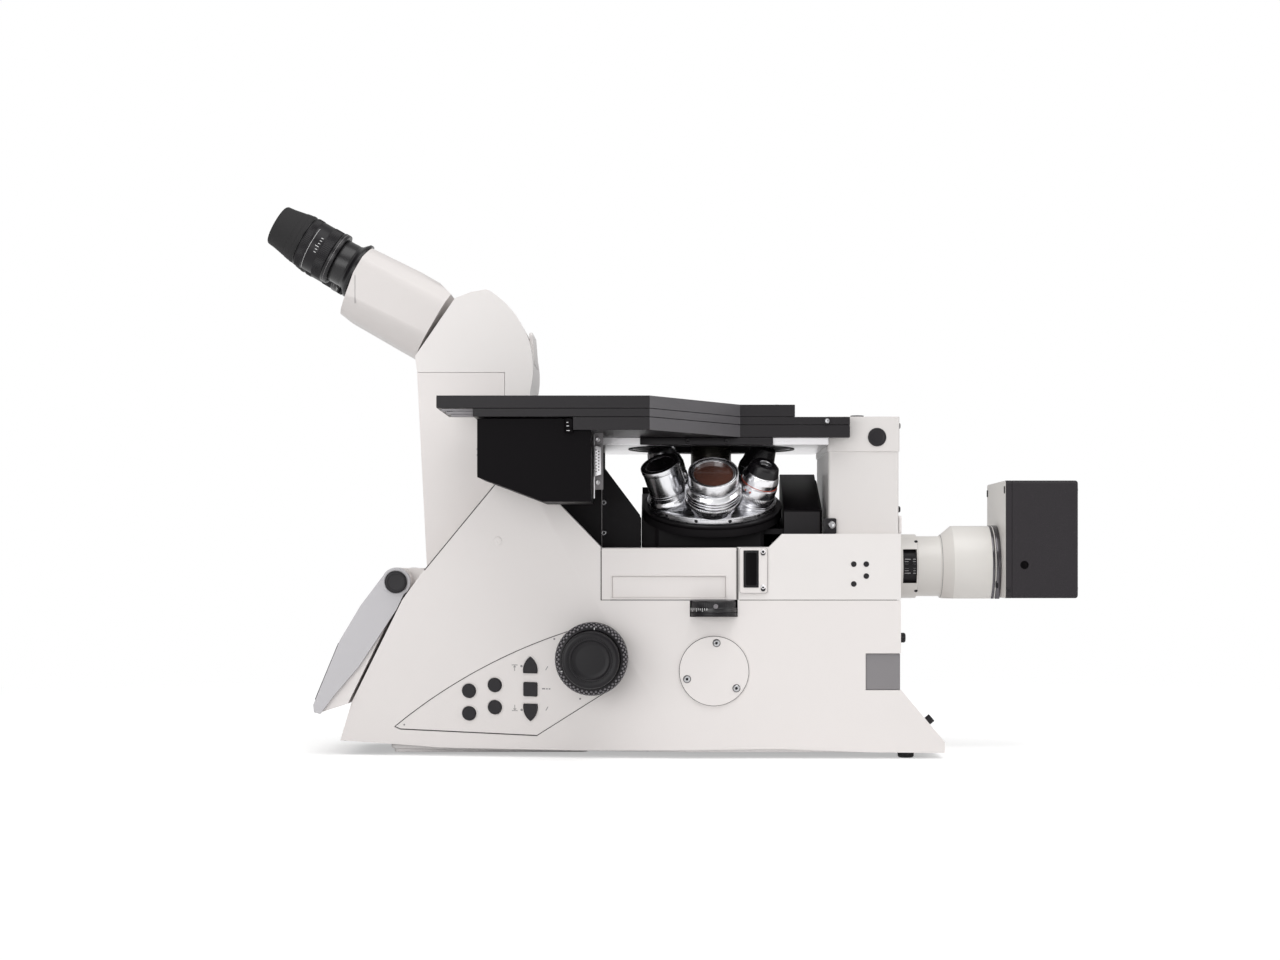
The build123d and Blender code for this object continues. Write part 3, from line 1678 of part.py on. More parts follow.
brow, chin = display_front[2], display_front[3]
screen_height, screen_thickness = 46.0, 1.2
with BuildPart() as display_screen:
    front_plane = Plane(
        origin=((brow[0] + chin[0]) / 2, 0, (brow[1] + chin[1]) / 2),
        x_dir=(0, -1, 0),
        z_dir=(chin[1] - brow[1], 0, brow[0] - chin[0]),
    )
    with BuildSketch(front_plane) as glass:
        RectangleRounded(2 * (display_side_y - screen_inset), screen_height, 2.0)
    extrude(glass.sketch, amount=screen_thickness)
finish(display_screen.part, "display_screen")

# Binocular tube: two prism housings on one hinge pin, each with its eyepiece

housing_gap = 0.4
prism_length = prism_end_n - hinge_n
prism_outer, prism_low, prism_top = 58.0, -10.0, 53.0


def prism_housing(side):
    """One half of the binocular; side is 1 on the near side and -1 on the far side."""
    inward = tan(radians(inward_relief)) * prism_top
    outward = tan(radians(outward_relief)) * -prism_low
    own = (knuckle_low, knuckle_mid) if side > 0 else (knuckle_mid + slip_gap, knuckle_high)
    other = (knuckle_mid, prism_length + 1) if side > 0 else (-1, knuckle_mid + slip_gap)
    with BuildPart() as housing:
        with BuildSketch(hinge_plane.offset(housing_gap)) as section:
            corners = [
                (0.4, 0),
                (inward + 0.4, prism_top),
                (44.0, prism_top),
                (prism_outer, 38.0),
                (prism_outer, 4.0),
                (46.0, prism_low),
                (outward + 0.4, prism_low),
            ]
            Polygon(*[(side * u, v) for u, v in corners], align=None)
        extrude(section.sketch, amount=prism_length - housing_gap)
        near_end = hinge_n + housing_gap
        side_view = [
            (near_end, -17.0),
            (near_end, 49.0),
            (near_end + 17.4, 54.0),
            (prism_end_n - 1.0, 49.8),
            (prism_end_n, 39.0),
            (prism_end_n, 24.0),
            (prism_end_n - 3.2, 6.6),
            (prism_end_n - 5.5, -17.0),
        ]
        spots = [tube_spot(n, rise) for n, rise in side_view]
        slab(spots, -far_out, far_out, mode=Mode.INTERSECT)
        disc(hinge_plane, knuckle_radius + slip_gap, *other, mode=Mode.SUBTRACT)
        disc(hinge_plane, knuckle_radius, *own)
        disc(hinge_plane, hinge_pin_radius + running_fit, -1, prism_length + 1, mode=Mode.SUBTRACT)
        disc(hinge_plane, tube_radius + running_fit, 14, prism_length + 1, mode=Mode.SUBTRACT, at=eye_spot(side))
    return housing.part


def eye_spot(side):
    return (side * eye_half_distance, eye_rise)


spigot_n = 402.0
barrel_top_n = 441.0
flange_top_n = 446.0
cup_base_n = dioptre_high_n + 0.3


def eyepiece(side):
    at = eye_spot(side)
    with BuildPart() as ocular:
        disc(hinge_plane, tube_radius, spigot_n - hinge_n, cup_end_n - 8 - hinge_n, at=at)
        disc(hinge_plane, collar_radius, prism_length, prism_length + collar_thickness, at=at)
        disc(hinge_plane, eye_flange_radius, barrel_top_n - hinge_n, flange_top_n - hinge_n, at=at)
        with BuildSketch(hinge_plane.offset(cup_base_n - hinge_n)) as cup_low:
            with Locations(at):
                Circle(dioptre_radius)
        with BuildSketch(hinge_plane.offset(cup_end_n - hinge_n)) as cup_high:
            with Locations(at):
                Circle(cup_radius)
        loft([cup_low.sketch.face(), cup_high.sketch.face()])
        disc(
            hinge_plane,
            eye_bore_radius,
            spigot_n - hinge_n - 1,
            cup_end_n + 1 - hinge_n,
            mode=Mode.SUBTRACT,
            at=at,
        )
    return ocular.part


def dioptre(side):
    at = eye_spot(side)
    with BuildPart() as ring:
        disc(hinge_plane, dioptre_radius, dioptre_low_n - hinge_n, dioptre_high_n - hinge_n, at=at)
        disc(hinge_plane, tube_radius + running_fit, 0, far_out, mode=Mode.SUBTRACT, at=at)
    return ring.part


for side, word in ((1, "near"), (-1, "far")):
    finish(prism_housing(side), f"prism_housing_{word}")
    finish(eyepiece(side), f"eyepiece_{word}")
    finish(dioptre(side), f"dioptre_{word}")
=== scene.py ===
from math import atan2, cos, hypot, pi, radians, sin

import bmesh
import bpy
from mathutils import Matrix, Vector


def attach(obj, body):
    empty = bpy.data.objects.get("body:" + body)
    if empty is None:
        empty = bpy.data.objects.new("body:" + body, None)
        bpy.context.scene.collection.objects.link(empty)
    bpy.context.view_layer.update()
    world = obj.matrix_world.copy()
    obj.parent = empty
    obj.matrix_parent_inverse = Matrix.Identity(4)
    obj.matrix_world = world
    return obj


# Looks of the inverted microscope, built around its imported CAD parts.
# Lengths in this script are in millimetres; the helpers turn them into metres.

MM = 0.001

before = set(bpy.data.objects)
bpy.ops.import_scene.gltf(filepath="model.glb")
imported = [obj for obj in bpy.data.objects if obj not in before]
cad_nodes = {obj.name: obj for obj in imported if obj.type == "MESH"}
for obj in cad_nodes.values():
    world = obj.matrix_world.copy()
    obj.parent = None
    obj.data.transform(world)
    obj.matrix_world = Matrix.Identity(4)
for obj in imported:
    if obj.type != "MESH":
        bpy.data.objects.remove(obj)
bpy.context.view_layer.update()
scene = bpy.context.scene


# Materials

def srgb(r, g, b):
    """A colour given as screen values, in linear light."""
    linear = []
    for c in (r / 255, g / 255, b / 255):
        linear.append(c / 12.92 if c <= 0.04045 else ((c + 0.055) / 1.055) ** 2.4)
    return (*linear, 1.0)


def scaled(colour, k):
    return (*[min(1.0, c * k) for c in colour[:3]], 1.0)


def surface(name, colour, rough, metal=0.0, vary=0.05, rough_vary=0.08, grain=1500.0, bump=0.03,
            stretch=(1, 1, 1), patch=18.0, coat=0.0, specular=0.5):
    """A surface with slow colour change, uneven gloss and fine grain; its colour is a screen colour."""
    colour = srgb(*colour)
    material = bpy.data.materials.new(name)
    material.use_nodes = True
    nodes, links = material.node_tree.nodes, material.node_tree.links
    shader = nodes["Principled BSDF"]
    shader.inputs["Metallic"].default_value = metal
    shader.inputs["Specular IOR Level"].default_value = specular
    shader.inputs["Coat Weight"].default_value = coat
    shader.inputs["Coat Roughness"].default_value = 0.15
    place = nodes.new("ShaderNodeTexCoord")
    spread = nodes.new("ShaderNodeMapping")
    spread.inputs["Scale"].default_value = stretch
    links.new(place.outputs["Object"], spread.inputs["Vector"])

    slow = nodes.new("ShaderNodeTexNoise")
    slow.inputs["Scale"].default_value = patch
    slow.inputs["Detail"].default_value = 4
    links.new(place.outputs["Object"], slow.inputs["Vector"])
    tint = nodes.new("ShaderNodeMix")
    tint.data_type = "RGBA"
    tint.inputs["A"].default_value = scaled(colour, 1 - vary)
    tint.inputs["B"].default_value = scaled(colour, 1 + vary)
    links.new(slow.outputs["Fac"], tint.inputs["Factor"])

    fine = nodes.new("ShaderNodeTexNoise")
    fine.inputs["Scale"].default_value = grain
    fine.inputs["Detail"].default_value = 3
    links.new(spread.outputs["Vector"], fine.inputs["Vector"])
    gloss = nodes.new("ShaderNodeMapRange")
    gloss.inputs["To Min"].default_value = max(0.02, rough - rough_vary)
    gloss.inputs["To Max"].default_value = min(1.0, rough + rough_vary)
    links.new(fine.outputs["Fac"], gloss.inputs["Value"])
    links.new(gloss.outputs["Result"], shader.inputs["Roughness"])
    relief = nodes.new("ShaderNodeBump")
    relief.inputs["Strength"].default_value = bump
    relief.inputs["Distance"].default_value = 0.001
    links.new(fine.outputs["Fac"], relief.inputs["Height"])
    links.new(relief.outputs["Normal"], shader.inputs["Normal"])

    links.new(tint.outputs["Result"], shader.inputs["Base Color"])
    return material


def glass(name, colour, alpha):
    material = surface(name, colour, 0.02, vary=0.02, rough_vary=0.01, bump=0.0, coat=1.0)
    material.node_tree.nodes["Principled BSDF"].inputs["Alpha"].default_value = alpha
    return material


# How far the grain of metal is drawn out along the three axes

drawn, brushed = (0.15, 6, 6), (0.4, 0.4, 30)

shell = surface("shell_white", (226, 221, 219), 0.42, vary=0.012, grain=2600, bump=0.035, patch=9)
metal_white = surface("frame_white", (226, 222, 220), 0.36, vary=0.012, grain=3200, patch=9)
lamp_white = surface("lamp_white", (219, 216, 212), 0.34, vary=0.015, grain=3000, bump=0.02, patch=14)
prism_white = surface("prism_white", (213, 208, 206), 0.4, vary=0.012, grain=3200, patch=9)
column_white = surface("column_white", (216, 212, 210), 0.38, vary=0.012, grain=3200, patch=9)
base_grey = surface("base_metal", (214, 210, 209), 0.45, vary=0.02, grain=2000)
cast_black = surface("frame_black", (29, 27, 29), 0.5, vary=0.1, grain=1400, bump=0.12, specular=0.12)
rubber = surface("rubber_black", (30, 29, 30), 0.8, vary=0.1, grain=1200, bump=0.1)
button_black = surface("button_black", (34, 32, 35), 0.38, vary=0.08, grain=2500, specular=0.25)
knob_black = surface("knob_black", (24, 22, 25), 0.36, vary=0.06, grain=2200, bump=0.05, specular=0.25)
stage_black = surface("stage_black", (41, 39, 41), 0.36, vary=0.06, grain=1600, bump=0.04, specular=0.16)
silver = surface("carrier_silver", (238, 236, 238), 0.3, metal=0.85, vary=0.03, grain=260, stretch=drawn)
grey_panel = surface("grey_panel", (128, 125, 127), 0.45, vary=0.04, grain=2000, bump=0.04)
display_grey = surface("display_grey", (190, 188, 191), 0.4, vary=0.02, grain=2400, bump=0.04)
screen_dark = surface("screen_glass", (24, 27, 31), 0.12, rough_vary=0.02, bump=0.0, coat=0.6)
lamp_black = surface("lamp_black", (46, 43, 46), 0.55, grain=1300, bump=0.16, specular=0.2)
drive_black = surface("drive_black", (14, 12, 14), 0.42, vary=0.08, bump=0.04, specular=0.05)
chrome = surface("objective_chrome", (226, 226, 229), 0.2, metal=1.0, grain=160, bump=0.02, stretch=brushed)
disc_steel = surface("disc_steel", (222, 222, 225), 0.26, metal=1.0, vary=0.06, grain=140, stretch=brushed)
dark_chrome = surface("dark_chrome", (92, 90, 93), 0.16, metal=1.0, grain=160, bump=0.02)
steel_pin = surface("steel_pin", (180, 180, 182), 0.3, metal=1.0, grain=300, bump=0.02)
eye_black = surface("eyepiece_black", (20, 18, 21), 0.26, vary=0.08, grain=1800, specular=0.35)
olive_black = surface("olive_black", (52, 50, 44), 0.28, metal=0.6, vary=0.06, grain=200, bump=0.02,
                      stretch=(0.4, 0.4, 20))
lens_red = glass("lens_brown", (96, 62, 52), alpha=0.75)
lens_dark = glass("lens_dark", (20, 20, 26), alpha=0.9)
bulb_clear = glass("bulb_glass", (235, 232, 220), alpha=0.35)
eye_gloss = surface("eyepiece_gloss", (17, 15, 18), 0.3, vary=0.06, grain=1800, bump=0.02)
fine_black = surface("fine_knob_black", (20, 18, 21), 0.34, vary=0.06, grain=2200, specular=0.24)
# Light grey: painted glints of the coarse knobs' knurl, and also the own grey of the analyser wheel pin.
knurl_glint_and_pin_grey = surface("knurl_glint_and_pin_grey", (122, 118, 122), 0.35, vary=0.1, grain=2200)
# Lighter grey for the stage plates' slanted faces: a painted highlight of the light they catch from the
# right.
slant_painted_highlight = surface("stage_slant_painted_highlight", (84, 82, 85), 0.34, vary=0.1, grain=900, bump=0.04, patch=26)
rail_grey = surface("rail_grey", (122, 119, 122), 0.34, metal=0.3, grain=300)
white_mark = surface("white_mark", (225, 225, 225), 0.5, vary=0.02, bump=0.0)
grey_mark = surface("grey_mark", (140, 137, 138), 0.5, vary=0.03, bump=0.0)
bronze = surface("bronze_edge", (96, 84, 74), 0.4, metal=0.4)
red_mark = surface("red_mark", (190, 70, 45), 0.45, vary=0.03, bump=0.0)


# Eyepiece axes: along the eyepieces and up across them, with the place of their middle lines

eye_tilt = radians(30.0)
n_axis = Vector((-cos(eye_tilt), 0, sin(eye_tilt)))
m_axis = Vector((sin(eye_tilt), 0, cos(eye_tilt)))
eye_height, eye_side = 215.0, 32.0


# CAD nodes: softened edges and their materials

def dress(material, names, edge=0.5, segments=2):
    """Gives CAD nodes their material and rounds their sharp edges."""
    for name in names:
        node = cad_nodes[name]
        node.data.materials.clear()
        node.data.materials.append(material)
        node.data.shade_smooth()
        weld = node.modifiers.new("weld", "WELD")
        weld.merge_threshold = 1e-6
        flat = node.modifiers.new("flat", "DECIMATE")
        flat.decimate_type = "DISSOLVE"
        flat.angle_limit = radians(0.6)
        if edge > 0:
            bevel = node.modifiers.new("bevel", "BEVEL")
            bevel.width = edge * MM
            bevel.segments = segments
            bevel.limit_method = "ANGLE"
            bevel.angle_limit = radians(35)
            bevel.harden_normals = False
        smooth = node.modifiers.new("smooth", "WEIGHTED_NORMAL")
        smooth.keep_sharp = True


def repaint(name, material, chosen):
    """Gives a node a second material on the faces whose normals are chosen."""
    mesh = cad_nodes[name].data
    mesh.materials.append(material)
    for face in mesh.polygons:
        face.material_index = int(chosen(face.normal))


def soften_ridges(name, width):
    """Rounds the long outer ridges of a prism housing, which run along its eyepiece."""
    node = cad_nodes[name]
    mesh = node.data
    bore_reach, flank_y = 22.0, 43.0
    weights = mesh.attributes.new("bevel_weight_edge", "FLOAT", "EDGE")
    for edge in mesh.edges:
        a, b = [mesh.vertices[i].co / MM for i in edge.vertices]
        clear = min(hypot(abs(end.y) - eye_side, end.dot(m_axis) - eye_height) for end in (a, b)) > bore_reach
        level = abs((b - a).normalized().dot(n_axis)) > 0.985
        if clear and level and min(abs(a.y), abs(b.y)) > flank_y:
            weights.data[edge.index].value = 1.0
    ridges = node.modifiers.new("ridges", "BEVEL")
    ridges.width = width * MM
    ridges.segments = 7
    ridges.limit_method = "WEIGHT"
    ridges.use_clamp_overlap = False
    node.modifiers.move(len(node.modifiers) - 1, 2)


dress(shell, ["side_cover_near", "side_cover_far", "rear_cover", "neck_housing"], 0.7)
dress(shell, ["control_panel", "access_covers", "reflector_door"], 0.3)
dress(shell, ["display_housing"], 2.0, 3)
dress(metal_white, ["tube_head", "mid_housing", "display_arm"], 0.8)
dress(column_white, ["rear_column"], 0.8)
dress(prism_white, ["prism_housing_near", "prism_housing_far"], 0.8)
for housing in ("prism_housing_near", "prism_housing_far"):
    soften_ridges(housing, 8.0)
dress(base_grey, ["base_plate"], 0.6)
dress(rubber, ["rubber_feet"], 0.3)
dress(cast_black, ["main_frame", "nosepiece_carriage"], 0.6)
round_buttons = [f"button_{level}_{side}" for level in ("upper", "lower") for side in ("left", "right")]
dress(button_black, round_buttons + ["arrow_up_button", "set_button", "arrow_down_button"], 0.3)
dress(button_black, ["display_pivot", "plugs_and_screws"], 0.3)
dress(knob_black, ["coarse_focus", "fine_focus", "analyser_wheel", "filter_slider"], 0.5)
dress(stage_black, ["stage_base", "stage_mid_plate", "stage_top_plate", "stage_insert"], 0.5)
dress(stage_black, ["reflector_turret", "analyser_slider"], 0.3)
# Plate faces turned to the near side and to the right get the lighter grey, a painted highlight.
for plate in ("stage_base", "stage_mid_plate", "stage_top_plate"):
    repaint(plate, slant_painted_highlight, lambda out: out.y < -0.5 and out.x > 0.1)
dress(silver, ["stage_carrier"], 0.3)
dress(grey_panel, ["rear_panel", "stage_connector"], 0.3)
dress(display_grey, ["display_side_plates"], 0.4)
dress(screen_dark, ["display_screen"], 0.2)
dress(lamp_white, ["lamp_flange", "lamp_tube", "lamp_front_plate"], 0.6)
dress(knob_black, ["aperture_ring"], 0.2)
dress(lamp_black, ["lamp_housing"], 0.5)
repaint("lamp_front_plate", lamp_black, lambda out: out.x >= -0.5)
dress(bulb_clear, ["lamp_bulb"], 0)
dress(lens_dark, ["relay_lenses"], 0)
dress(drive_black, ["stage_drive_box", "turret_motor", "focus_motor"], 0.5)
# The motor's near face gets the lighter stage black. Its other faces keep the darker drive black, which is
# painted shade on the slope under the stage.
repaint("turret_motor", stage_black, lambda out: out.y < -0.9)
dress(disc_steel, ["turret"], 0.4)
dress(chrome, ["objective_barrels"], 0.3)
dress(lens_red, ["objective_lenses"], 0)
dress(steel_pin, ["lead_screw"], 0.2)
dress(eye_black, ["eyepiece_near", "eyepiece_far"], 0.4)
dress(knob_black, ["dioptre_near", "dioptre_far"], 0.4)


# Pieces modelled here: every helper gives (vertices, faces) in millimetres

def stand_at(origin, out, across=(1, 0, 0)):
    """A local frame at a place: z points out, x runs along across."""
    z = Vector(out).normalized()
    x = Vector(across)
    x = (x - z * x.dot(z)).normalized()
    y = z.cross(x)
    return Matrix.Translation(Vector(origin)) @ Matrix((x, y, z)).transposed().to_4x4()


def near_side(x, z, y):
    """A frame on a face turned to the operator's panel side: local x is +X, local y is +Z."""
    return stand_at((x, y, z), (0, -1, 0))


def far_side(x, z, y):
    return stand_at((x, y, z), (0, 1, 0), (-1, 0, 0))


def rear_side(y, z, x):
    """A frame on a face turned to the rear: local x is +Y, local y is +Z."""
    return stand_at((x, y, z), (1, 0, 0), (0, 1, 0))


both_sides = (("near", near_side, -1), ("far", far_side, 1))


def softened(profile, cut=0.3):
    """Rounds the corners between the first and last point of a profile."""
    points = [profile[0]]
    for before, here, after in zip(profile, profile[1:], profile[2:]):
        start, middle, end = Vector(before[:2]), Vector(here[:2]), Vector(after[:2])
        one, two = start - middle, end - middle
        if min(one.length, two.length) < 1e-6 or abs(one.normalized().dot(two.normalized())) > 0.999:
            points.append(here)
            continue
        reach = min(cut, one.length * 0.45, two.length * 0.45)
        a = middle + one.normalized() * reach
        b = middle + two.normalized() * reach
        mid = (a + b) * 0.25 + middle * 0.5
        points += [(*a, *here[2:]), (*mid, *here[2:]), (*b, *here[2:])]
    points.append(profile[-1])
    return points


def turned(profile, place, steps=48, depth=0.5, arc=None, cut=0.3, closed=False):
    """Turns (radius, height, kind) points about z. Kinds: flute, check (diamond knurl) and hex."""
    if closed:
        profile = [profile[-1]] + profile + [profile[0]]
        profile = softened(profile, cut)[1:-1]
    else:
        profile = softened(profile, cut)
    start, end = arc or (0.0, 2 * pi)
    count = steps if arc is None else steps + 1
    verts, rows = [], []
    for i, point in enumerate(profile):
        radius, height = point[0], point[1]
        kind = point[2] if len(point) > 2 else ""
        if radius < 1e-6:
            rows.append([len(verts)] * count)
            verts.append(place @ Vector((0, 0, height)))
            continue
        row = []
        for j in range(count):
            angle = start + (end - start) * j / steps
            r = radius
            if kind == "flute":
                r -= depth * (j % 2)
            elif kind == "check":
                r -= depth * ((i + j) % 2)
            elif kind == "hex":
                r /= cos((angle + pi / 6) % (pi / 3) - pi / 6)
            row.append(len(verts))
            verts.append(place @ Vector((r * cos(angle), r * sin(angle), height)))
        rows.append(row)
    faces = []
    pairs = list(zip(rows, rows[1:]))
    if closed:
        pairs.append((rows[-1], rows[0]))
    span = count if arc is None else count - 1
    for low, high in pairs:
        for j in range(span):
            k = (j + 1) % count
            ring = [low[j], low[k], high[k], high[j]]
            face = [v for n, v in enumerate(ring) if v not in ring[:n]]
            if len(face) > 2:
                faces.append(face)
    if arc is not None and closed:
        faces.append([row[0] for row in rows])
        faces.append([row[-1] for row in reversed(rows)])
    return verts, faces


def hoop(inner, outer, h0, h1, place, steps=96, cut=0.3, arc=None, kind="", depth=0.5):
    """A ring between two radii and two heights; kind shapes its outer side."""
    profile = [(inner, h0), (outer, h0, kind), (outer, h1, kind), (inner, h1)]
    return turned(profile, place, steps, depth, arc, cut, closed=True)


def prism(outline, h0, h1, place, edge=0.3):
    """A solid between two heights over local (x, y) points, with its edges bevelled."""
    shape_mesh = bmesh.new()
    low = [shape_mesh.verts.new((x, y, h0)) for x, y in outline]
    high = [shape_mesh.verts.new((x, y, h1)) for x, y in outline]
    shape_mesh.faces.new(low)
    shape_mesh.faces.new(high)
    for i in range(len(outline)):
        k = (i + 1) % len(outline)
        shape_mesh.faces.new((low[i], low[k], high[k], high[i]))
    bmesh.ops.recalc_face_normals(shape_mesh, faces=shape_mesh.faces)
    if edge > 0:
        bmesh.ops.bevel(
            shape_mesh,
            geom=[e for e in shape_mesh.edges if e.calc_face_angle(0) > 0.6],
            offset=edge,
            segments=2,
            profile=0.5,
            affect="EDGES",
            clamp_overlap=True,
        )
    shape_mesh.verts.index_update()
    verts = [place @ v.co for v in shape_mesh.verts]
    faces = [[v.index for v in face.verts] for face in shape_mesh.faces]
    shape_mesh.free()
    return verts, faces


def bar(x0, x1, y0, y1, z0, z1, edge=0.4):
    """A box between two corners of the frame, with bevelled edges."""
    return prism([(x0, y0), (x1, y0), (x1, y1), (x0, y1)], z0, z1, Matrix.Identity(4), edge)


def rounded(width, height, radius, steps=5):
    """A rectangle about the middle with round corners."""
    points = []
    for quarter, (sx, sy) in enumerate(((1, 1), (-1, 1), (-1, -1), (1, -1))):
        for step in range(steps + 1):
            angle = pi / 2 * (quarter + step / steps)
            x = sx * (width / 2 - radius) + radius * cos(angle)
            y = sy * (height / 2 - radius) + radius * sin(angle)
            points.append((x, y))
    return points


def wall(outer, inner, h0, h1, place):
    """A closed wall between two loops of local points and two heights."""
    count = len(outer)
    verts = []
    for loop, h in ((outer, h0), (outer, h1), (inner, h1), (inner, h0)):
        verts += [place @ Vector((x, y, h)) for x, y in loop]
    faces = []
    for ring in range(4):
        low, high = ring * count, (ring + 1) % 4 * count
        for i in range(count):
            k = (i + 1) % count
            faces.append([low + i, low + k, high + k, high + i])
    return verts, faces


def outline_ring(width, height, radius, line_width, place, proud=0.25):
    """A thin raised line along a rectangle with round corners."""
    outer = rounded(width, height, radius)
    inner = rounded(width - 2 * line_width, height - 2 * line_width, radius - line_width)
    return wall(outer, inner, -0.1, proud, place)


def line(start, end, width, place, proud=0.06):
    """A thin painted line between two local points."""
    start, end = Vector(start), Vector(end)
    side = (end - start).normalized().orthogonal() * width / 2
    corners = [start - side, end - side, end + side, start + side]
    return prism([(c.x, c.y) for c in corners], -0.02, proud, place, min(0.02, width / 6))


def dot(x, y, radius, place, proud=0.1):
    profile = [(radius, -0.05), (radius, proud), (0, proud * 1.4)]
    return turned(profile, place @ Matrix.Translation((x, y, 0)), 20, cut=proud / 3)


def socket_head(radius, height, place, key=0.5):
    """A button head screw with a hexagonal socket."""
    profile = [
        (radius, -0.05),
        (radius, height * 0.45),
        (radius * 0.72, height),
        (radius * key, height, "hex"),
        (radius * key, height * 0.35, "hex"),
        (0, height * 0.3),
    ]
    return turned(profile, place, 36, cut=0.12)


def piece(name, parts, material, body="stand"):
    """One named object made of (vertices, faces) parts, with one material, attached to a body."""
    verts, faces = [], []
    for part_verts, part_faces in parts:
        first = len(verts)
        verts += [Vector(v) * MM for v in part_verts]
        faces += [[first + i for i in face] for face in part_faces]
    mesh = bpy.data.meshes.new(name)
    mesh.from_pydata(verts, [], faces)
    work = bmesh.new()
    work.from_mesh(mesh)
    bmesh.ops.remove_doubles(work, verts=work.verts, dist=1e-7)
    bmesh.ops.dissolve_degenerate(work, edges=work.edges, dist=1e-7)
    bmesh.ops.recalc_face_normals(work, faces=work.faces)
    work.to_mesh(mesh)
    work.free()
    mesh.materials.append(material)
    mesh.shade_smooth()
    mesh.set_sharp_from_angle(angle=radians(32))
    made = bpy.data.objects.new(name, mesh)
    scene.collection.objects.link(made)
    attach(made, body)


# Places repeated from the CAD model

half_width = 105.0
cover_y = -half_width
focus_x, focus_z = -62.5, 80.6
optic_x = 34.0
lamp_z = 153.5
column_half_width = 72.0
column_y = -column_half_width
column_right_x = 185.4
flange_end_x = 205.4
rear_x = 183.0
stage_near_y, stage_top_z = -190.0, 283.2

crease_top = Vector((-106.7, cover_y, 204.5))
crease_low = Vector((-64.5, cover_y, 132.9))
nose_foot = Vector((-269.2, -62.0, 15.0))
taper_normal = (crease_low - crease_top).cross(nose_foot - crease_top).normalized()
if taper_normal.y > 0:
    taper_normal.negate()


def taper_place(x, z, sink=0.1):
    """A frame on the tapered near side over (x, z), sunk under the cover face by a little."""
    n = taper_normal
    y = crease_top.y - (n.x * (x - crease_top.x) + n.z * (z - crease_top.z)) / n.y
    return stand_at(Vector((x, y, z)) - n * sink, n)


def taper_spot(x, z):
    return taper_place(x, z, 0).translation


def strip(points, width, place, proud=0.1):
    """A thin raised line along a closed loop of local points."""
    count = len(points)
    loops = []
    for shift in (-width / 2, width / 2):
        loop = []
        for i, here in enumerate(points):
            run = (Vector(points[(i + 1) % count]) - Vector(points[i - 1])).normalized()
            loop.append(Vector(here) + Vector((run.y, -run.x)) * shift)
        loops.append(loop)
    return wall(*loops, -0.3, proud, place)


def arc_points(a, b, c, steps):
    """Points from a up to, but without, c on the circle through a, b and c."""
    (ax, ay), (bx, by), (cx, cy) = a, b, c
    twice = 2 * (ax * (by - cy) + bx * (cy - ay) + cx * (ay - by))
    aa, bb, cc = ax * ax + ay * ay, bx * bx + by * by, cx * cx + cy * cy
    mx = (aa * (by - cy) + bb * (cy - ay) + cc * (ay - by)) / twice
    my = (aa * (cx - bx) + bb * (ax - cx) + cc * (bx - ax)) / twice
    first, last = atan2(ay - my, ax - mx), atan2(cy - my, cx - mx)
    if last > first:
        last -= 2 * pi
    radius = hypot(ax - mx, ay - my)
    turns = [first + (last - first) * i / steps for i in range(steps)]
    return [(mx + radius * cos(turn), my + radius * sin(turn)) for turn in turns]


def cover_seams():
    """The gap round the control panel and the one between the near cover and the neck."""
    corners = [(-223.6, 23.6), (-152.0, 71.5), (-72.0, 104.6), (-37.6, 80.0), (-52.0, 53.0), (-107.5, 17.5)]
    corners.append((-219.0, 21.6))
    place = taper_place(-140.0, 60.0, 0)
    flat = [tuple((place.inverted() @ taper_spot(x, z)).xy) for x, z in corners]
    loop = arc_points(flat[0], flat[1], flat[2], 40) + arc_points(flat[2], flat[3], flat[4], 24) + flat[4:]
    parts = [strip(loop, 0.6, place, 0.08)]
    low, high = taper_spot(-198.2, 150.2), taper_spot(-124.6, 237.2)
    place = stand_at((low + high) / 2, taper_normal, high - low)
    half = (high - low).length / 2
    parts.append(line((-half, 0.0), (half, 0.0), 0.7, place, 0.12))
    piece("cover_seams", parts, rubber)


# Control panel marks and the cover plug

def panel_marks():
    pins = [((-93.3, 95.3), 0.8), ((-72.7, 47.4), 0.8), ((-216.0, 25.1), 0.7)]
    pins = [dot(0, 0, radius, taper_place(x, z), 0.25) for (x, z), radius in pins]
    piece("panel_pins", pins, grey_mark)
    marks = []
    for z, way in ((72.0, 1), (39.5, -1)):
        place = taper_place(-124.5, z)
        strokes = [(-3.4, 2.2, 1.4, 2.2, 0.55), (-1.0, 1.6, -1.0, -2.6, 0.55)]
        strokes += [(-1.0, 1.5, -2.1, 0.3, 0.5), (-1.0, 1.5, 0.1, 0.3, 0.5)]
        marks += [line((x0, way * y0), (x1, way * y1), width, place) for x0, y0, x1, y1, width in strokes]
        marks.append(dot(4.6, way * 1.4, 1.0, place, 0.08))
        marks.append(line((24.4, -1.5), (26.2, 1.7), 0.6, place))
    place = taper_place(-100.2, 55.2)
    marks += [line((x0, 0), (x1, 0), 1.1, place) for x0, x1 in ((-3.2, -0.6), (0.2, 1.4), (2.2, 3.6))]
    piece("panel_marks", marks, grey_mark)
    rings = []
    for x, z in ((-162.2, 53.4), (-141.2, 58.2), (-162.2, 35.1), (-141.2, 40.3)):
        rings.append(hoop(6.3, 6.9, 0, 0.28, taper_place(x, z), 40, 0.1))
    piece("button_rings", rings, shell)
    place = taper_place(-138.5, 173.5, 0)
    plug = [(3.6, -0.3), (3.6, 0.35), (2.9, 0.7), (0.9, 0.75), (0.7, 0.55), (0, 0.5)]
    piece("cover_plug", [turned(plug, place, 36)], shell)


# Focus knobs on both sides

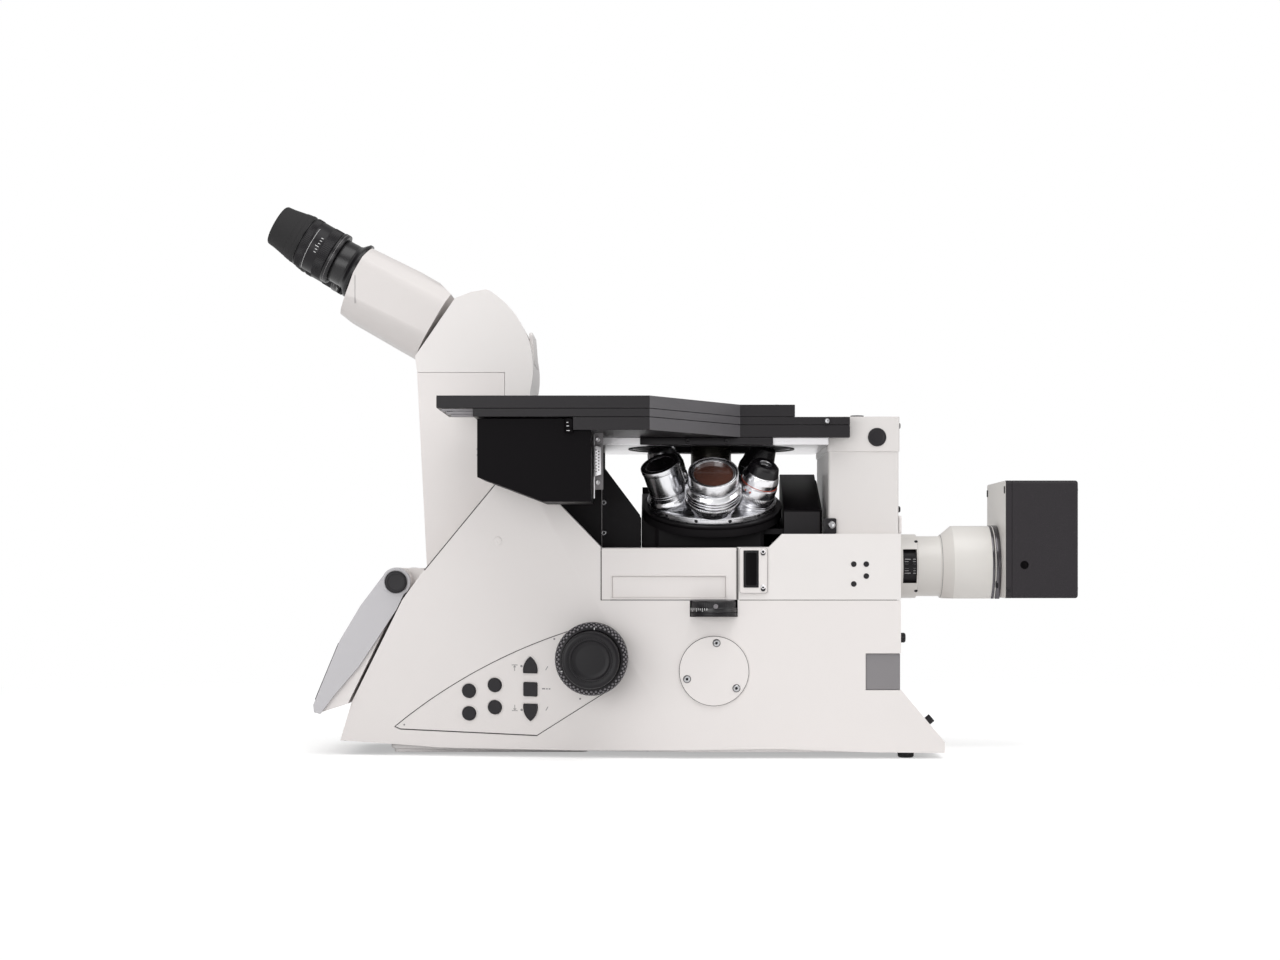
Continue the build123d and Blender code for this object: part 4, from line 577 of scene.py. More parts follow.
def focus_knobs():
    for word, side, way in both_sides:
        place = side(focus_x, focus_z, way * 107.0)
        grip = [(24.5, -0.1), (27.2, -0.1), (28.5, 1.4, "check")]
        grip += [(28.5, h, "check") for h in (4, 6.5, 9, 11.5, 14, 16.5, 19, 21.5, 24, 26.5, 29)]
        grip += [(28.5, 31.0, "check"), (27.2, 32.4, "check"), (25.2, 33.5, "check")]
        grip += [(23.6, 33.9), (22.4, 33.6), (22.4, 32.8)]
        piece(f"coarse_grip_{word}", [turned(grip, place, 96, 0.55, cut=0.2)], knob_black, "coarse_knobs")
        piece(f"knob_seat_{word}", [hoop(14.0, 26.0, -1.7, -0.1, place, 64)], button_black)
        place = side(focus_x, focus_z, way * 140.3)
        rim = [(21.0, 0.1), (22.35, 0.6), (22.35, 1.6, "flute"), (22.35, 17.2, "flute"), (22.35, 18.4)]
        rim += [(21.4, 19.9), (19.6, 20.3), (17.0, 20.0)]
        piece(f"fine_grip_{word}", [turned(rim, place, 180, 0.3, cut=0.15)], fine_black, "fine_knobs")
        face = [(17.1, 19.7), (17.0, 20.6), (16.1, 20.9), (15.3, 20.4), (14.4, 18.9), (11.5, 18.65),
                (0, 19.1)]
        piece(f"fine_face_{word}", [turned(face, place, 64)], fine_black, "fine_knobs")
        place = side(focus_x, focus_z, way * 141.0)
        ticks = [line((-24.0, -9.4), (-22.4, -9.2), 0.7, place), line((2.3, 23.0), (2.4, 24.8), 0.7, place)]
        piece(f"knob_marks_{word}", ticks, white_mark, "coarse_knobs")
        # Three rows of small raised nubs in light grey round the knob's face: painted glints of the knurl.
        glint_nubs = []
        knob = side(focus_x, focus_z, way * 107.0)
        face_out = knob.to_3x3() @ Vector((0, 0, 1))
        for row, (radius, height, lean) in enumerate(((25.6, 33.35, 25), (27.0, 32.5, 45), (28.1, 31.2, 62))):
            for step in range(44):
                turn = 2 * pi * (step + 0.5 * (row % 2)) / 44
                out = knob.to_3x3() @ Vector((cos(turn), sin(turn), 0))
                spot = knob @ Vector((radius * cos(turn), radius * sin(turn), height))
                facing = out * sin(radians(lean)) + face_out * cos(radians(lean))
                nub = stand_at(spot, facing, out.cross(face_out))
                glint_nubs.append(turned([(1.05, -0.2), (0.75, 0.4), (0, 0.45)], nub, 6, cut=0.05))
        piece(f"coarse_glint_nubs_{word}", glint_nubs, knurl_glint_and_pin_grey, "coarse_knobs")


# Covers: screws, gaskets, door trim and drawer

port_x, port_z = 34.2, 70.0
port_screw_circle = 22.4


def cover_details():
    screws, screw_seats, gaskets = [], [], []
    for _, side, way in both_sides:
        for angle in (85.0, 196.5, 322.5):
            x = port_x + port_screw_circle * cos(radians(angle))
            z = port_z + port_screw_circle * sin(radians(angle))
            place = side(x, z, way * (half_width + 2.0))
            screws.append(socket_head(2.7, 1.3, place, 0.4))
            screw_seats.append(hoop(2.5, 3.15, -0.1, 0.25, place, 36, 0.06))
        gaskets.append(hoop(27.2, 27.85, 0, 0.5, side(port_x, port_z, way * half_width), 96, 0.1))
    piece("port_screws", screws, steel_pin)
    piece("port_gaskets", gaskets, rubber)
    piece("port_screw_seats", screw_seats, button_black)
    holes = ((145.4, 155.1), (155.4, 155.1), (155.4, 145.6), (145.4, 139.3))
    sockets = [socket_head(2.25, 0.6, near_side(x, z, cover_y), 0.55) for x, z in holes]
    piece("cover_sockets", sockets, button_black)
    pale = [socket_head(2.0, 1.0, near_side(73.2, z, cover_y - 1.6)) for z in (136.9, 164.9)]
    piece("bezel_screws", pale, silver)
    bezel = outline_ring(22.4, 36.6, 2.2, 0.25, near_side(65.6, 150.1, cover_y - 1.6))
    piece("bezel_edge", [bezel], grey_mark)
    trim = [bar(-48.4, 50.6, cover_y - 0.12, cover_y + 0.6, 126.0, 126.9, 0.1)]
    trim.append(bar(44.8, 47.6, cover_y - 0.5, cover_y + 0.6, 124.6, 127.0, 0.3))
    piece("door_trim", trim, grey_mark)
    gap = [bar(52.7, 53.6, cover_y - 0.2, cover_y + 0.6, 126.8, 168.2, 0.1)]
    piece("door_gap", gap, cast_black)
    grip = [prism(rounded(90.0, 16.8, 1.2), -1.6, -1.2, near_side(-1.65, 136.85, cover_y), 0.1)]
    piece("door_grip_floor", grip, shell, "door")
    outer, inner = cover_y - 0.3, cover_y + 0.4
    edges = [bar(-47.9, 44.6, outer, inner, z - 0.55, z + 0.55, 0.25) for z in (127.6, 146.1)]
    edges += [bar(x - 0.55, x + 0.55, outer, inner, 127.6, 146.1, 0.25) for x in (-47.5, 44.2)]
    piece("door_grip_edge", edges, shell, "door")
    grip = [prism(rounded(8.6, 26.0, 1.2), -0.1, 0.9, near_side(63.65, 151.2, cover_y - 2.4), 0.6)]
    piece("drawer_grip", grip, drive_black, "filter_drawer")


# Analyser thumb wheel

def thumb_wheel():
    place = stand_at((optic_x, -102.0, 116.6), (0, 0, 1))
    rim = [(14.0, 0.1), (18.5, 0.1), (18.65, 0.4), (18.65, 3.4), (18.3, 3.7), (18.1, 3.9),
           (18.1, 4.3, "flute")]
    rim += [(18.1, 8.4, "flute"), (17.4, 9.0), (14.0, 9.1)]
    piece("wheel_rim", [turned(rim, place, 144, 0.3, cut=0.15)], eye_gloss, "analyser_thumb_wheel")
    front = (radians(194), radians(346))
    piece("wheel_shelf", [hoop(17.9, 18.75, -2.8, -0.2, place, 64, 0.2, front)], knob_black, "analyser")
    lips = []
    for left in (optic_x - 20.3, optic_x + 19.0):
        lips.append(bar(left, left + 1.3, cover_y - 0.02, cover_y + 1.6, 113.0, 126.6, 0.1))
    piece("wheel_slot_lips", lips, shell)
    ticks = []
    for step in range(12):
        angle = radians(186 + 6 * step)
        long = 2.8 if step % 3 == 0 else 1.8
        out = Vector((cos(angle), sin(angle), 0))
        spot = Vector((optic_x, -102.0, 118.8)) + out * 18.66
        tick = stand_at(spot, out, (0, 0, 1))
        ticks.append(line((1.4 - long, 0), (1.4, 0), 0.45, tick))
    piece("wheel_ticks", ticks, white_mark, "analyser_thumb_wheel")
    pin = [(1.9, -1), (1.9, 0.9), (1.5, 1.3), (0.9, 1.3), (0.8, 1.0), (0, 1.0)]
    pin = turned(pin, stand_at((optic_x + 1.2, -119.6, 121.6), (0, -1, 0)), 28, cut=0.15)
    piece("wheel_pin", [pin], knurl_glint_and_pin_grey, "analyser_thumb_wheel")


# Rear column

def column_details():
    tab = [prism(rounded(10.6, 12.6, 1.4), 0, 2.6, near_side(128.6, 186.0, column_y), 0.4)]
    piece("column_tab", tab, button_black)
    piece("column_tab_screw", [socket_head(3.1, 1.9, near_side(130.0, 186.8, column_y - 2.6))], steel_pin)
    caps = []
    for _, side, way in both_sides:
        ring = [(7.5, -0.2), (7.5, 0.6), (6.9, 1.05), (5.6, 1.1), (5.0, 0.85), (0, 0.95)]
        caps.append(turned(ring, side(167.0, 258.0, way * column_half_width), 48))
    piece("column_caps", caps, button_black)
    rear = []
    for z in (267.8, 199.8):
        rear += [socket_head(2.6, 1.6, rear_side(y, z, column_right_x)) for y in (-60.0, 60.0)]
    piece("column_rear_screws", rear, button_black)
    pad = [prism(rounded(44.0, 14.5, 2.0), -0.2, 2.0, rear_side(-45.0, 187.2, column_right_x))]
    piece("column_rear_pad", pad, shell)
    level = stand_at((152.6, -50.0, 276.3), (0, 0, 1))
    ring = turned([(5.6, -1.5), (5.6, 0.4), (4.2, 0.5), (3.9, 0.1), (0, 0.2)], level, 40)
    piece("level_ring", [ring], button_black)
    bubble = turned([(3.8, 0.1), (3.4, 0.5), (0, 0.8)], level, 32)
    piece("level_bubble", [bubble], lens_dark)


# Lamp line

def lamp_round(x, radius, degrees):
    """A frame on the round side of the lamp line, its x along the line; 0 degrees is the near side."""
    out = Vector((0, -cos(radians(degrees)), sin(radians(degrees))))
    return stand_at(Vector((x, 0, lamp_z)) + out * radius, out)


def lamp_details():
    ticks = []
    for step in range(-3, 4):
        place = lamp_round(198.7, 26.45, 4.2 * step)
        ticks.append(line((-4.6, 0), (-1.4 if step % 3 else 0.4, 0), 0.42, place))
        ticks.append(line((2.4, 0), (4.6, 0), 0.42, place))
    piece("aperture_ticks", ticks, white_mark, "aperture_control")
    flutes = []
    for step in range(-6, 7):
        flutes.append(prism(rounded(10.4, 0.62, 0.25), -0.3, 0.28, lamp_round(199.0, 26.4, 2.3 * step), 0.1))
    piece("aperture_flutes", flutes, knob_black, "aperture_control")
    grubs = [socket_head(1.5, 0.6, lamp_round(204.4, 26.7, degrees)) for degrees in (50, -50)]
    piece("flange_grubs", grubs, button_black)
    axis = stand_at((0, 0, lamp_z), (1, 0, 0), (0, 0, -1))
    open_arc = (radians(38), radians(322))
    clamp = [(33.0, 266.2), (34.3, 266.2), (34.3, 268.2), (33.7, 268.5), (33.7, 269.2)]
    clamp += [(34.4, 269.5), (34.4, 273.2), (33.0, 273.2)]
    clamp = turned(clamp, axis, 96, arc=open_arc, cut=0.15, closed=True)
    piece("tube_clamp_ring", [clamp], dark_chrome)
    seams = []
    for x, radius in ((flange_end_x, 25.2), (226.0, 26.3)):
        seams.append(hoop(radius - 0.6, radius + 0.12, x - 0.3, x + 0.3, axis, 96, 0.1))
    piece("tube_seams", seams, grey_mark)
    screws = [prism(rounded(2.4, 6.4, 1.0), -0.4, 0.9, near_side(269.9, 138.5, -30.6))]
    screws.append(socket_head(1.6, 0.7, near_side(276.2, 134.0, -55.0)))
    for y in (-51.0, 51.0):
        place = stand_at((273.5, y, 216.0), (-1, 0, 0), (0, 1, 0))
        screws.append(prism(rounded(2.4, 6.0, 1.0), -0.3, 0.8, place))
    piece("lamp_screws", screws, button_black)
    hole = [(3.4, -0.2), (3.4, 0.3), (2.9, 0.45), (2.7, -1.5)]
    piece("lamp_port_ring", [turned(hole + [(0, -1.6)], near_side(289.0, lamp_z + 1, -55.0), 40, cut=0.15)],
          drive_black)
    fins = [prism(rounded(70.0, 2.6, 1.2), -0.4, 0.9, rear_side(0, 150.0 + 8.0 * k, 332.9)) for k in range(8)]
    piece("lamp_rear_fins", fins, lamp_black)
    corners = [socket_head(2.2, 1.0, rear_side(y, z, 332.9)) for y in (-47.0, 47.0) for z in (135.0, 216.0)]
    piece("lamp_rear_screws", corners, steel_pin)


# Stage

def stage_details():
    near = stage_near_y
    rails = []
    for start, z0, z1 in ((-167.8, 267.1, 268.6), (-171.5, 269.0, 271.0), (-175.4, 271.4, 273.2)):
        rails.append(bar(start, -150.6, near + 1.0, near + 9.0, z0, z1, 0.3))
    rails.append(bar(-167.0, -150.6, near + 1.8, near + 8.2, 267.4, 273.0, 0.2))
    piece("wing_rails", rails, rail_grey, "middle_plate")
    edges = [bar(-179.0, -178.1, near + 0.4, -80.4, 274.6, 282.3, 0.3)]
    piece("plate_end_trim", edges, bronze, "top_plate")
    axis = Matrix.Translation((optic_x, -14.0, 0))
    piece("opening_ring", [hoop(66.3, 69.2, 250.4, 251.2, axis, 96, 0.2)], cast_black)
    # A dark bar with two screw heads in front of the carrier's near edge: painted shade where that edge lies
    # in shadow under the stage.
    shade_bar = [bar(-24.9, 82.0, -89.4, -84.1, 251.0, 256.7, 0.8)]
    shade_bar += [socket_head(2.3, 1.0, near_side(x, 254.0, -89.4), 0.4) for x in (13.6, 44.8)]
    piece("carrier_shade_bar", shade_bar, stage_black)
    piece("opening_lining", [hoop(64.6, 65.9, 251.5, 266.5, axis, 96, 0.2)], stage_black)
    sensor = [(0, 254.8), (3.4, 255.0), (3.4, 257.4), (2.9, 257.7), (2.9, 258.5), (3.4, 258.8)]
    sensor += [(3.4, 265.0), (2.2, 265.8), (0, 265.8)]
    sensor = turned(sensor, Matrix.Translation((-78.4, near + 1.4, 0)), 40)
    piece("drive_sensor", [sensor], drive_black)
    dashes = []
    for step, z in enumerate((256.4, 259.9, 262.6)):
        spot = near_side(-78.4, z, near - 2.0)
        dashes.append(line((-1.4, 0), (1.0 - 0.5 * step, 0), 0.45, spot, 0.1))
    piece("sensor_marks", dashes, white_mark)
    dots = []
    for z in (242.6, 238.0):
        dots.append(dot(0, 0, 0.8, stand_at((-148.2, -184.6, z), (-1, -0.6, 0), (0, 0, 1)), 0.3))
    piece("drive_dots", dots, steel_pin)
    outline = [(-2.9, -12.2), (2.9, -10.6), (2.9, 10.6), (-2.9, 12.2)]
    plug = [prism(outline, 0, 3.4, near_side(-57.2, 235.0, -154.0), 0.4)]
    plug += [socket_head(2.0, 3.0, near_side(-57.2, z, -150.0)) for z in (218.4, 251.6)]
    piece("connector_shell", plug, silver)
    pins = []
    for row in range(2):
        for step in range(8 - row):
            z = 243.4 - step * 2.4 - row * 1.2
            pins.append(dot(0, 0, 0.5, near_side(-58.2 + 2.0 * row, z, -157.4), 0.5))
    piece("connector_pins", pins, drive_black)
    plates = [bar(-60.6, -59.4, -152.0, -150.2, 206.0, 256.0, 0.3)]
    plates.append(bar(-54.6, -53.6, -149.8, -146.4, 214.0, 256.0, 0.3))
    piece("connector_strip", plates, silver)
    webs = [socket_head(2.3, 1.3, near_side(-54.6, z, -57.5)) for z in (180.5, 205.4)]
    piece("web_screws", webs, steel_pin)
    back = [bar(76.0, 112.0, 64.0, 72.0, 165.8, 196.0, 0.8)]
    piece("bay_back_plate", back, cast_black)
    edge = [bar(-56.6, -55.9, -58.3, -57.4, 166.5, 236.0, 0.2)]
    piece("web_edge", edge, grey_mark)
    knob = [(0.9, -0.2), (0.9, 1.2), (2.1, 1.5), (2.3, 2.6), (1.6, 3.9), (0, 4.3)]
    piece("plate_lock", [turned(knob, near_side(125.2, 269.8, -88.0), 32)], steel_pin, "middle_plate")
    flush = []
    for x, y in ((-70.0, -150.0), (-20.0, -170.0), (-70.0, 175.0), (85.0, 175.0), (85.0, -80.0),
                 (-165.0, -100.0)):
        flush.append(socket_head(2.8, 0.5, stand_at((x, y, stage_top_z), (0, 0, 1))))
    piece("stage_screws", flush, button_black, "top_plate")
    top = stand_at((optic_x, 0, stage_top_z), (0, 0, 1))
    rings = [hoop(52.8, 54.6, -0.1, 0.25, top, 96, 0.1)]
    rim = [(15.4, -0.1), (17.4, -0.1), (17.0, 0.3), (15.6, 0.3)]
    rings.append(turned(rim, top, 64, closed=True, cut=0.1))
    piece("insert_rings", rings, silver, "top_plate")


# Nosepiece and objectives

tilt = radians(20.0)
turret_axis = Vector((0, -sin(tilt), cos(tilt)))
turret_across = Vector((0, cos(tilt), sin(tilt)))
turret_centre = Vector((optic_x, -36.0 * cos(tilt), 209.5))


def seat(place_no):
    """The frame on which an objective stands, its z along the objective."""
    angle = 2 * pi * place_no / 6
    outward = turret_across * cos(angle) + Vector((1, 0, 0)) * sin(angle)
    return stand_at(turret_centre + outward * 36.0, turret_axis * cos(tilt) + outward * sin(tilt), outward)


def band(at, radius, h0, h1, thick=0.5, kind="", depth=0.3, steps=96):
    """A sleeve around an objective between two heights."""
    return hoop(radius - thick, radius, h0, h1, at, steps, 0.18, None, kind, depth)


def objectives():
    body = "objective_turret"
    bright, dark, olive, red, rings, lenses = [], [], [], [], [], []
    bands = [(0, olive, 16.9, 8.6, 32.6, 0.7), (0, bright, 18.2, 33.0, 38.3, 0.8, "flute", 0.4, 120)]
    bands += [(0, dark, 16.2, 38.5, 40.2, 5.0), (1, dark, 14.9, 9.0, 22.0, 0.6)]
    bands += [(1, bright, 15.15, 12.4, 13.4), (1, bright, 15.15, 19.4, 20.0),
              (2, bright, 16.0, 8.6, 21.6, 0.7)]
    bands += [(2, bright, 16.3, 10.0, 14.6, 0.5, "flute", 0.35, 144), (2, red, 15.3, 22.8, 23.2)]
    bands += [(3, bright, 18.6, 8.4, 12.2, 0.6, "flute", 0.35, 160)]
    bands += [(3, bright, 23.2, 15.2, 18.6, 0.8, "flute", 0.35, 180)]
    bands += [(3, bright, 23.1, 19.1, 21.6, 0.7), (3, bright, 23.1, 22.2, 24.0, 0.7)]
    bands += [(3, bright, 22.95, 24.6, 26.9, 0.7), (3, rings, 20.9, 27.4, 31.0, 1.6)]
    bands += [(3, rings, 20.3, 31.6, 41.4, 1.2), (3, dark, 19.0, 37.2, 40.8, 0.6),
              (4, rings, 16.3, 36.0, 40.2, 0.8)]
    bands += [(4, bright, 16.1, 14.2, 15.0, 0.4), (4, dark, 15.95, 15.5, 16.0, 0.3),
              (4, bright, 16.1, 16.5, 17.1, 0.4)]
    bands += [(5, bright, 15.4, 9.0, 14.0, 0.6, "flute", 0.35, 140), (5, dark, 15.2, 16.0, 17.0, 0.4)]
    bands += [(5, bright, 15.3, 18.0, 23.6)]
    for k in range(6):
        bands.append((k, rings, 15.9, 4.6, 6.9, 2.2))
        bands.append((k, rings, 17.4 if k in (0, 4) else 15.2, 6.9, 8.4, 1.6, "flute", 0.35, 144))
    for k, group, *shape in bands:
        group.append(band(seat(k), *shape))
    for k, group, profile in (
        (1, dark, [(14.9, 22.0), (13.4, 26.2), (11.4, 38.1), (9.3, 40.2), (5.4, 40.3), (5.2, 38.4)]),
        (2, bright, [(15.2, 24.6), (15.2, 27.0), (13.9, 31.6), (12.6, 32.2)]),
        (2, dark, [(13.3, 32.2), (11.8, 38.2), (9.3, 40.25), (5.3, 40.35), (5.2, 38.4)]),
        (3, bright, [(18.4, 40.2), (17.6, 40.5), (16.9, 40.2), (16.9, 38.2)]),
        (4, dark, [(15.6, 38.6), (15.6, 40.3), (15.2, 40.6), (12.6, 40.4), (12.2, 39.9), (0, 39.9)]),
    ):
        group.append(turned(profile, seat(k), 96 if k == 3 else 72))
    for turn in (-100, -84):
        about = Matrix.Rotation(radians(turn), 4, "Z")
        place = seat(2) @ about @ Matrix.Translation((16.05, 0, 18.6)) @ Matrix.Rotation(pi / 2, 4, "Y")
        red.append(dot(0, 0, 0.8, place, 0.15))
    for k, radius in ((0, 8.0), (1, 5.0), (2, 5.0), (5, 6.0)):
        cap = [(radius - 0.1, 37.4), (radius - 0.1, 37.8), (radius * 0.6, 38.3), (0, 38.5)]
        lenses.append(turned(cap, seat(k), 48))
    piece("objective_silver", bright, chrome, body)
    piece("objective_black", dark, eye_black, body)
    piece("objective_olive", olive, olive_black, body)
    piece("objective_red", red, red_mark, body)
    piece("objective_rings", rings, disc_steel, body)
    piece("objective_glass", lenses, lens_dark, body)
    grubs = []
    disc_place = stand_at(turret_centre, turret_axis, (1, 0, 0))
    for step in range(12):
        turn = Matrix.Rotation(radians(30 * step + 15), 4, "Z")
        place = disc_place @ turn @ Matrix.Translation((52.9, 0, -2.4)) @ Matrix.Rotation(pi / 2, 4, "Y")
        grubs.append(socket_head(1.5, 0.35, place))
    piece("turret_grubs", grubs, button_black, body)
    rim = [(51.6, -0.1), (53.3, -0.7), (53.3, -1.4), (52.2, -1.4)]
    hub = [(0, 0.3), (6.0, 0.4), (7.6, 0.2), (7.8, -0.2)]
    parts = [turned(rim, disc_place, 144, closed=True, cut=0.15), turned(hub, disc_place, 48)]
    piece("turret_rim", parts, disc_steel, body)
    lid = [(-60.1, 197.6), (-60.1, 199.4), (17.1, 231.4), (17.1, 225.0)]
    lid = [prism(lid, 92.4, 121.9, rear_side(0, 0, 0), 0.5)]
    piece("motor_lid", lid, drive_black, "nosepiece")
    groove = [(57.2, -8.2), (57.9, -8.0), (57.9, -6.4), (57.2, -6.2)]
    piece("carriage_rim", [turned(groove, disc_place, 144, closed=True, cut=0.2)], drive_black, "nosepiece")


# Eyepieces and binocular tube

def tube_place(n, m, y):
    """A frame across the eyepieces: z along them, x to the near side, y across and up."""
    return stand_at(n_axis * n + m_axis * m + Vector((0, y, 0)), n_axis, (0, -1, 0))


def eyepieces():
    for word, _, way in both_sides:
        body = f"binocular_{word}"
        at = tube_place(0, eye_height, way * eye_side)
        cup = [(20.6, 472.6), (21.3, 473.4), (21.3, 476.0), (20.7, 476.6), (20.9, 477.4), (20.2, 481.4)]
        cup += [(19.6, 482.0), (19.7, 482.8), (17.9, 492.0), (17.2, 498.0), (16.2, 499.2), (13.4, 498.9),
                (12.4, 496.0)]
        cup += [(12.4, 486.0)]
        piece(f"eye_cup_{word}", [turned(cup, at, 96, cut=0.5)], rubber, body)
        lens = [(12.3, 485.0), (12.2, 485.8), (6.0, 487.4), (0, 487.9)]
        piece(f"eye_lens_{word}", [turned(lens, at, 64)], lens_dark, body)
        flange = [(17.0, 440.8), (21.9, 440.8), (22.1, 441.6), (22.1, 445.4), (21.6, 446.1), (17.0, 446.1)]
        piece(f"eye_flange_{word}", [turned(flange, at, 96, cut=0.2, closed=True)], eye_black, body)
        piece(f"eye_ring_{word}", [hoop(21.6, 22.2, 443.3, 443.55, at, 96, 0.05)], grey_mark, body)
        piece(f"eye_sleeve_{word}", [hoop(17.1, 18.5, 421.5, 440.6, at)], eye_gloss, body)
        grip = [(17.4, 446.6), (21.2, 446.6), (21.5, 447.2, "flute"), (21.5, 454.6, "flute"), (21.1, 455.2)]
        grip += [(21.1, 465.4), (21.5, 466.0, "flute"), (21.5, 470.6, "flute"), (21.1, 471.4), (17.4, 471.6)]
        piece(f"dioptre_grip_{word}", [turned(grip, at, 180, 0.35, cut=0.15, closed=True)], knob_black,
              f"dioptre_ring_{word}")
        ticks = []
        for step in range(-2, 4):
            turn = radians(step * 7) if way < 0 else pi + radians(step * 7)
            out = Matrix.Rotation(turn, 4, "Z")
            long = 3.4 if step == 0 else 2.0
            place = at @ out @ Matrix.Translation((21.12, 0, 456.6)) @ Matrix.Rotation(pi / 2, 4, "Y")
            ticks.append(line((0, 0), (-long, 0), 0.45, place, 0.08))
        half_way = (radians(-75), radians(40)) if way < 0 else (radians(140), radians(255))
        ticks.append(hoop(20.8, 21.2, 463.7, 463.95, at, 48, 0.05, half_way))
        piece(f"dioptre_marks_{word}", ticks, white_mark, f"dioptre_ring_{word}")
        under = tube_place(427.0, 196.4, way * eye_side) @ Matrix.Rotation(pi / 2, 4, "X")
        screw = [(0, -1.0), (1.6, -1.0), (1.6, 1.0), (2.7, 1.3, "flute"), (2.7, 5.0, "flute"), (2.2, 5.5),
                 (0, 5.6)]
        piece(f"eye_clamp_{word}", [turned(screw, under, 48, 0.25)], eye_black, body)
        seam = [prism(rounded(0.5, 23.0, 0.2), -0.3, 0.12,
                      stand_at((-257.6, way * 58.0, 379.5), (0, way, 0)), 0.05)]
        piece(f"prism_seam_{word}", seam, grey_mark, body)
        cone = [(17.4, 423.3), (23.0, 423.3), (22.6, 424.6), (19.4, 427.6), (18.7, 429.6), (17.4, 429.8)]
        piece(f"eye_cone_{word}", [turned(cone, at, 96, cut=0.4, closed=True)], eye_gloss, body)


def head_details():
    bumper = [prism(rounded(60.0, 27.0, 3.0), -0.6, 2.4,
                    stand_at((-115.6, 0, 333.5), (1, 0, 0.08), (0, 1, 0)), 0.8)]
    piece("head_bumper", bumper, metal_white)
    collar = [(12.4, 338.0), (13.2, 338.4), (13.2, 342.9), (12.4, 343.3)]
    at = tube_place(0, 187.0, 0)
    piece("hinge_collar", [turned(collar, at, 72, closed=True)], button_black)
    cap = [(0, 416.6), (5.0, 416.4), (6.4, 415.6), (6.6, 414.6)]
    piece("hinge_cap", [turned(list(reversed(cap)), at, 48)], button_black)


# Display unit

def display_details():
    for word, side, way in both_sides:
        cap = [(9.0, -0.2), (9.0, 1.0), (8.4, 1.7), (6.9, 2.0), (6.3, 1.7), (0, 1.9)]
        piece(f"pivot_cap_{word}", [turned(cap, side(-222.2, 140.7, way * 76.4), 56)], button_black)
        washer = hoop(9.2, 11.1, -1.3, 0.3, side(-222.2, 140.7, way * 75.0), 56)
        piece(f"pivot_washer_{word}", [washer], display_grey, "display")
    brow, chin = Vector((-267.5, 0, 93.8)), Vector((-289.3, 0, 41.2))
    out = Vector((chin.z - brow.z, 0, brow.x - chin.x))
    face = stand_at((brow + chin) / 2 + out.normalized() * 1.2, out, (0, -1, 0))
    frame_bars = []
    for x, y, w, h in ((0, 23.9, 129.0, 2.2), (0, -23.9, 129.0, 2.2), (63.6, 0, 2.2, 46.0),
                       (-63.6, 0, 2.2, 46.0)):
        frame_bars.append(prism(rounded(w, h, 0.9), -1.3, 0.5, face @ Matrix.Translation((x, y, 0)), 0.3))
    piece("screen_frame", frame_bars, button_black, "display")
    keys = [prism(rounded(7.0, 2.4, 1.1), -1.4, 0.2, face @ Matrix.Translation((x, -26.6, 0)),
                  0.3) for x in (-20, 0, 20)]
    piece("display_keys", keys, grey_panel, "display")


# Rear, underside and the rest

def rear_details():
    heads = [socket_head(2.2, 0.7, far_side(x, 22.0, half_width)) for x in (-10.0, 90.0, 172.0)]
    piece("cover_screws_low", heads, steel_pin)
    label = [prism(rounded(70.0, 24.0, 2.0), -0.1, 0.7, rear_side(20.0, 90.0, rear_x), 0.2)]
    piece("rear_label", label, display_grey)
    rivets = [dot(0, 0, 1.2, rear_side(y, 90.0, rear_x + 0.7), 0.4) for y in (-10.5, 50.5)]
    piece("rear_rivets", rivets, steel_pin)
    knobs = []
    for origin, out in (((188.5, -82.0, 95.9), (1, 0, 0)), ((203.8, -82.0, 30.6), (1, 0, 0.84))):
        place = stand_at(origin, out, (0, 1, 0))
        knobs.append(turned([(3.0, -4.6), (3.95, -4.2, "flute"), (3.95, -0.6, "flute"), (3.2, 0.3),
                             (0, 0.5)], place, 40, 0.3))
    piece("rear_knob_grips", knobs, button_black)
    feet = []
    for x, y in ((188.5, -88), (188.5, 88)):
        ring = [(6.9, 4.6), (6.9, 3.4), (6.2, 3.0)]
        feet.append(turned([(6.0, 5.0)] + ring + [(6.0, 3.1)], Matrix.Translation((x, y, 0)), 40,
                           closed=True))
    piece("foot_rings", feet, rubber)


cover_seams()
panel_marks()
focus_knobs()
cover_details()
thumb_wheel()
column_details()
lamp_details()
stage_details()
objectives()
eyepieces()
head_details()
display_details()
rear_details()


# Floor, light and camera

def worked(graph, operation, first, second):
    """The result of a math node on two sockets or numbers."""
    node = graph.nodes.new("ShaderNodeMath")
    node.operation = operation
    for socket, value in zip(node.inputs, (first, second)):
        if isinstance(value, float):
            socket.default_value = value
        else:
            graph.links.new(value, socket)
    return node.outputs[0]


floor_size = 12.0
floor_mesh = bpy.data.meshes.new("floor")
corners = [(x * floor_size, y * floor_size, 0) for x, y in ((-1, -1), (1, -1), (1, 1), (-1, 1))]
floor_mesh.from_pydata(corners, [], [(0, 1, 2, 3)])
floor = bpy.data.objects.new("floor", floor_mesh)
scene.collection.objects.link(floor)

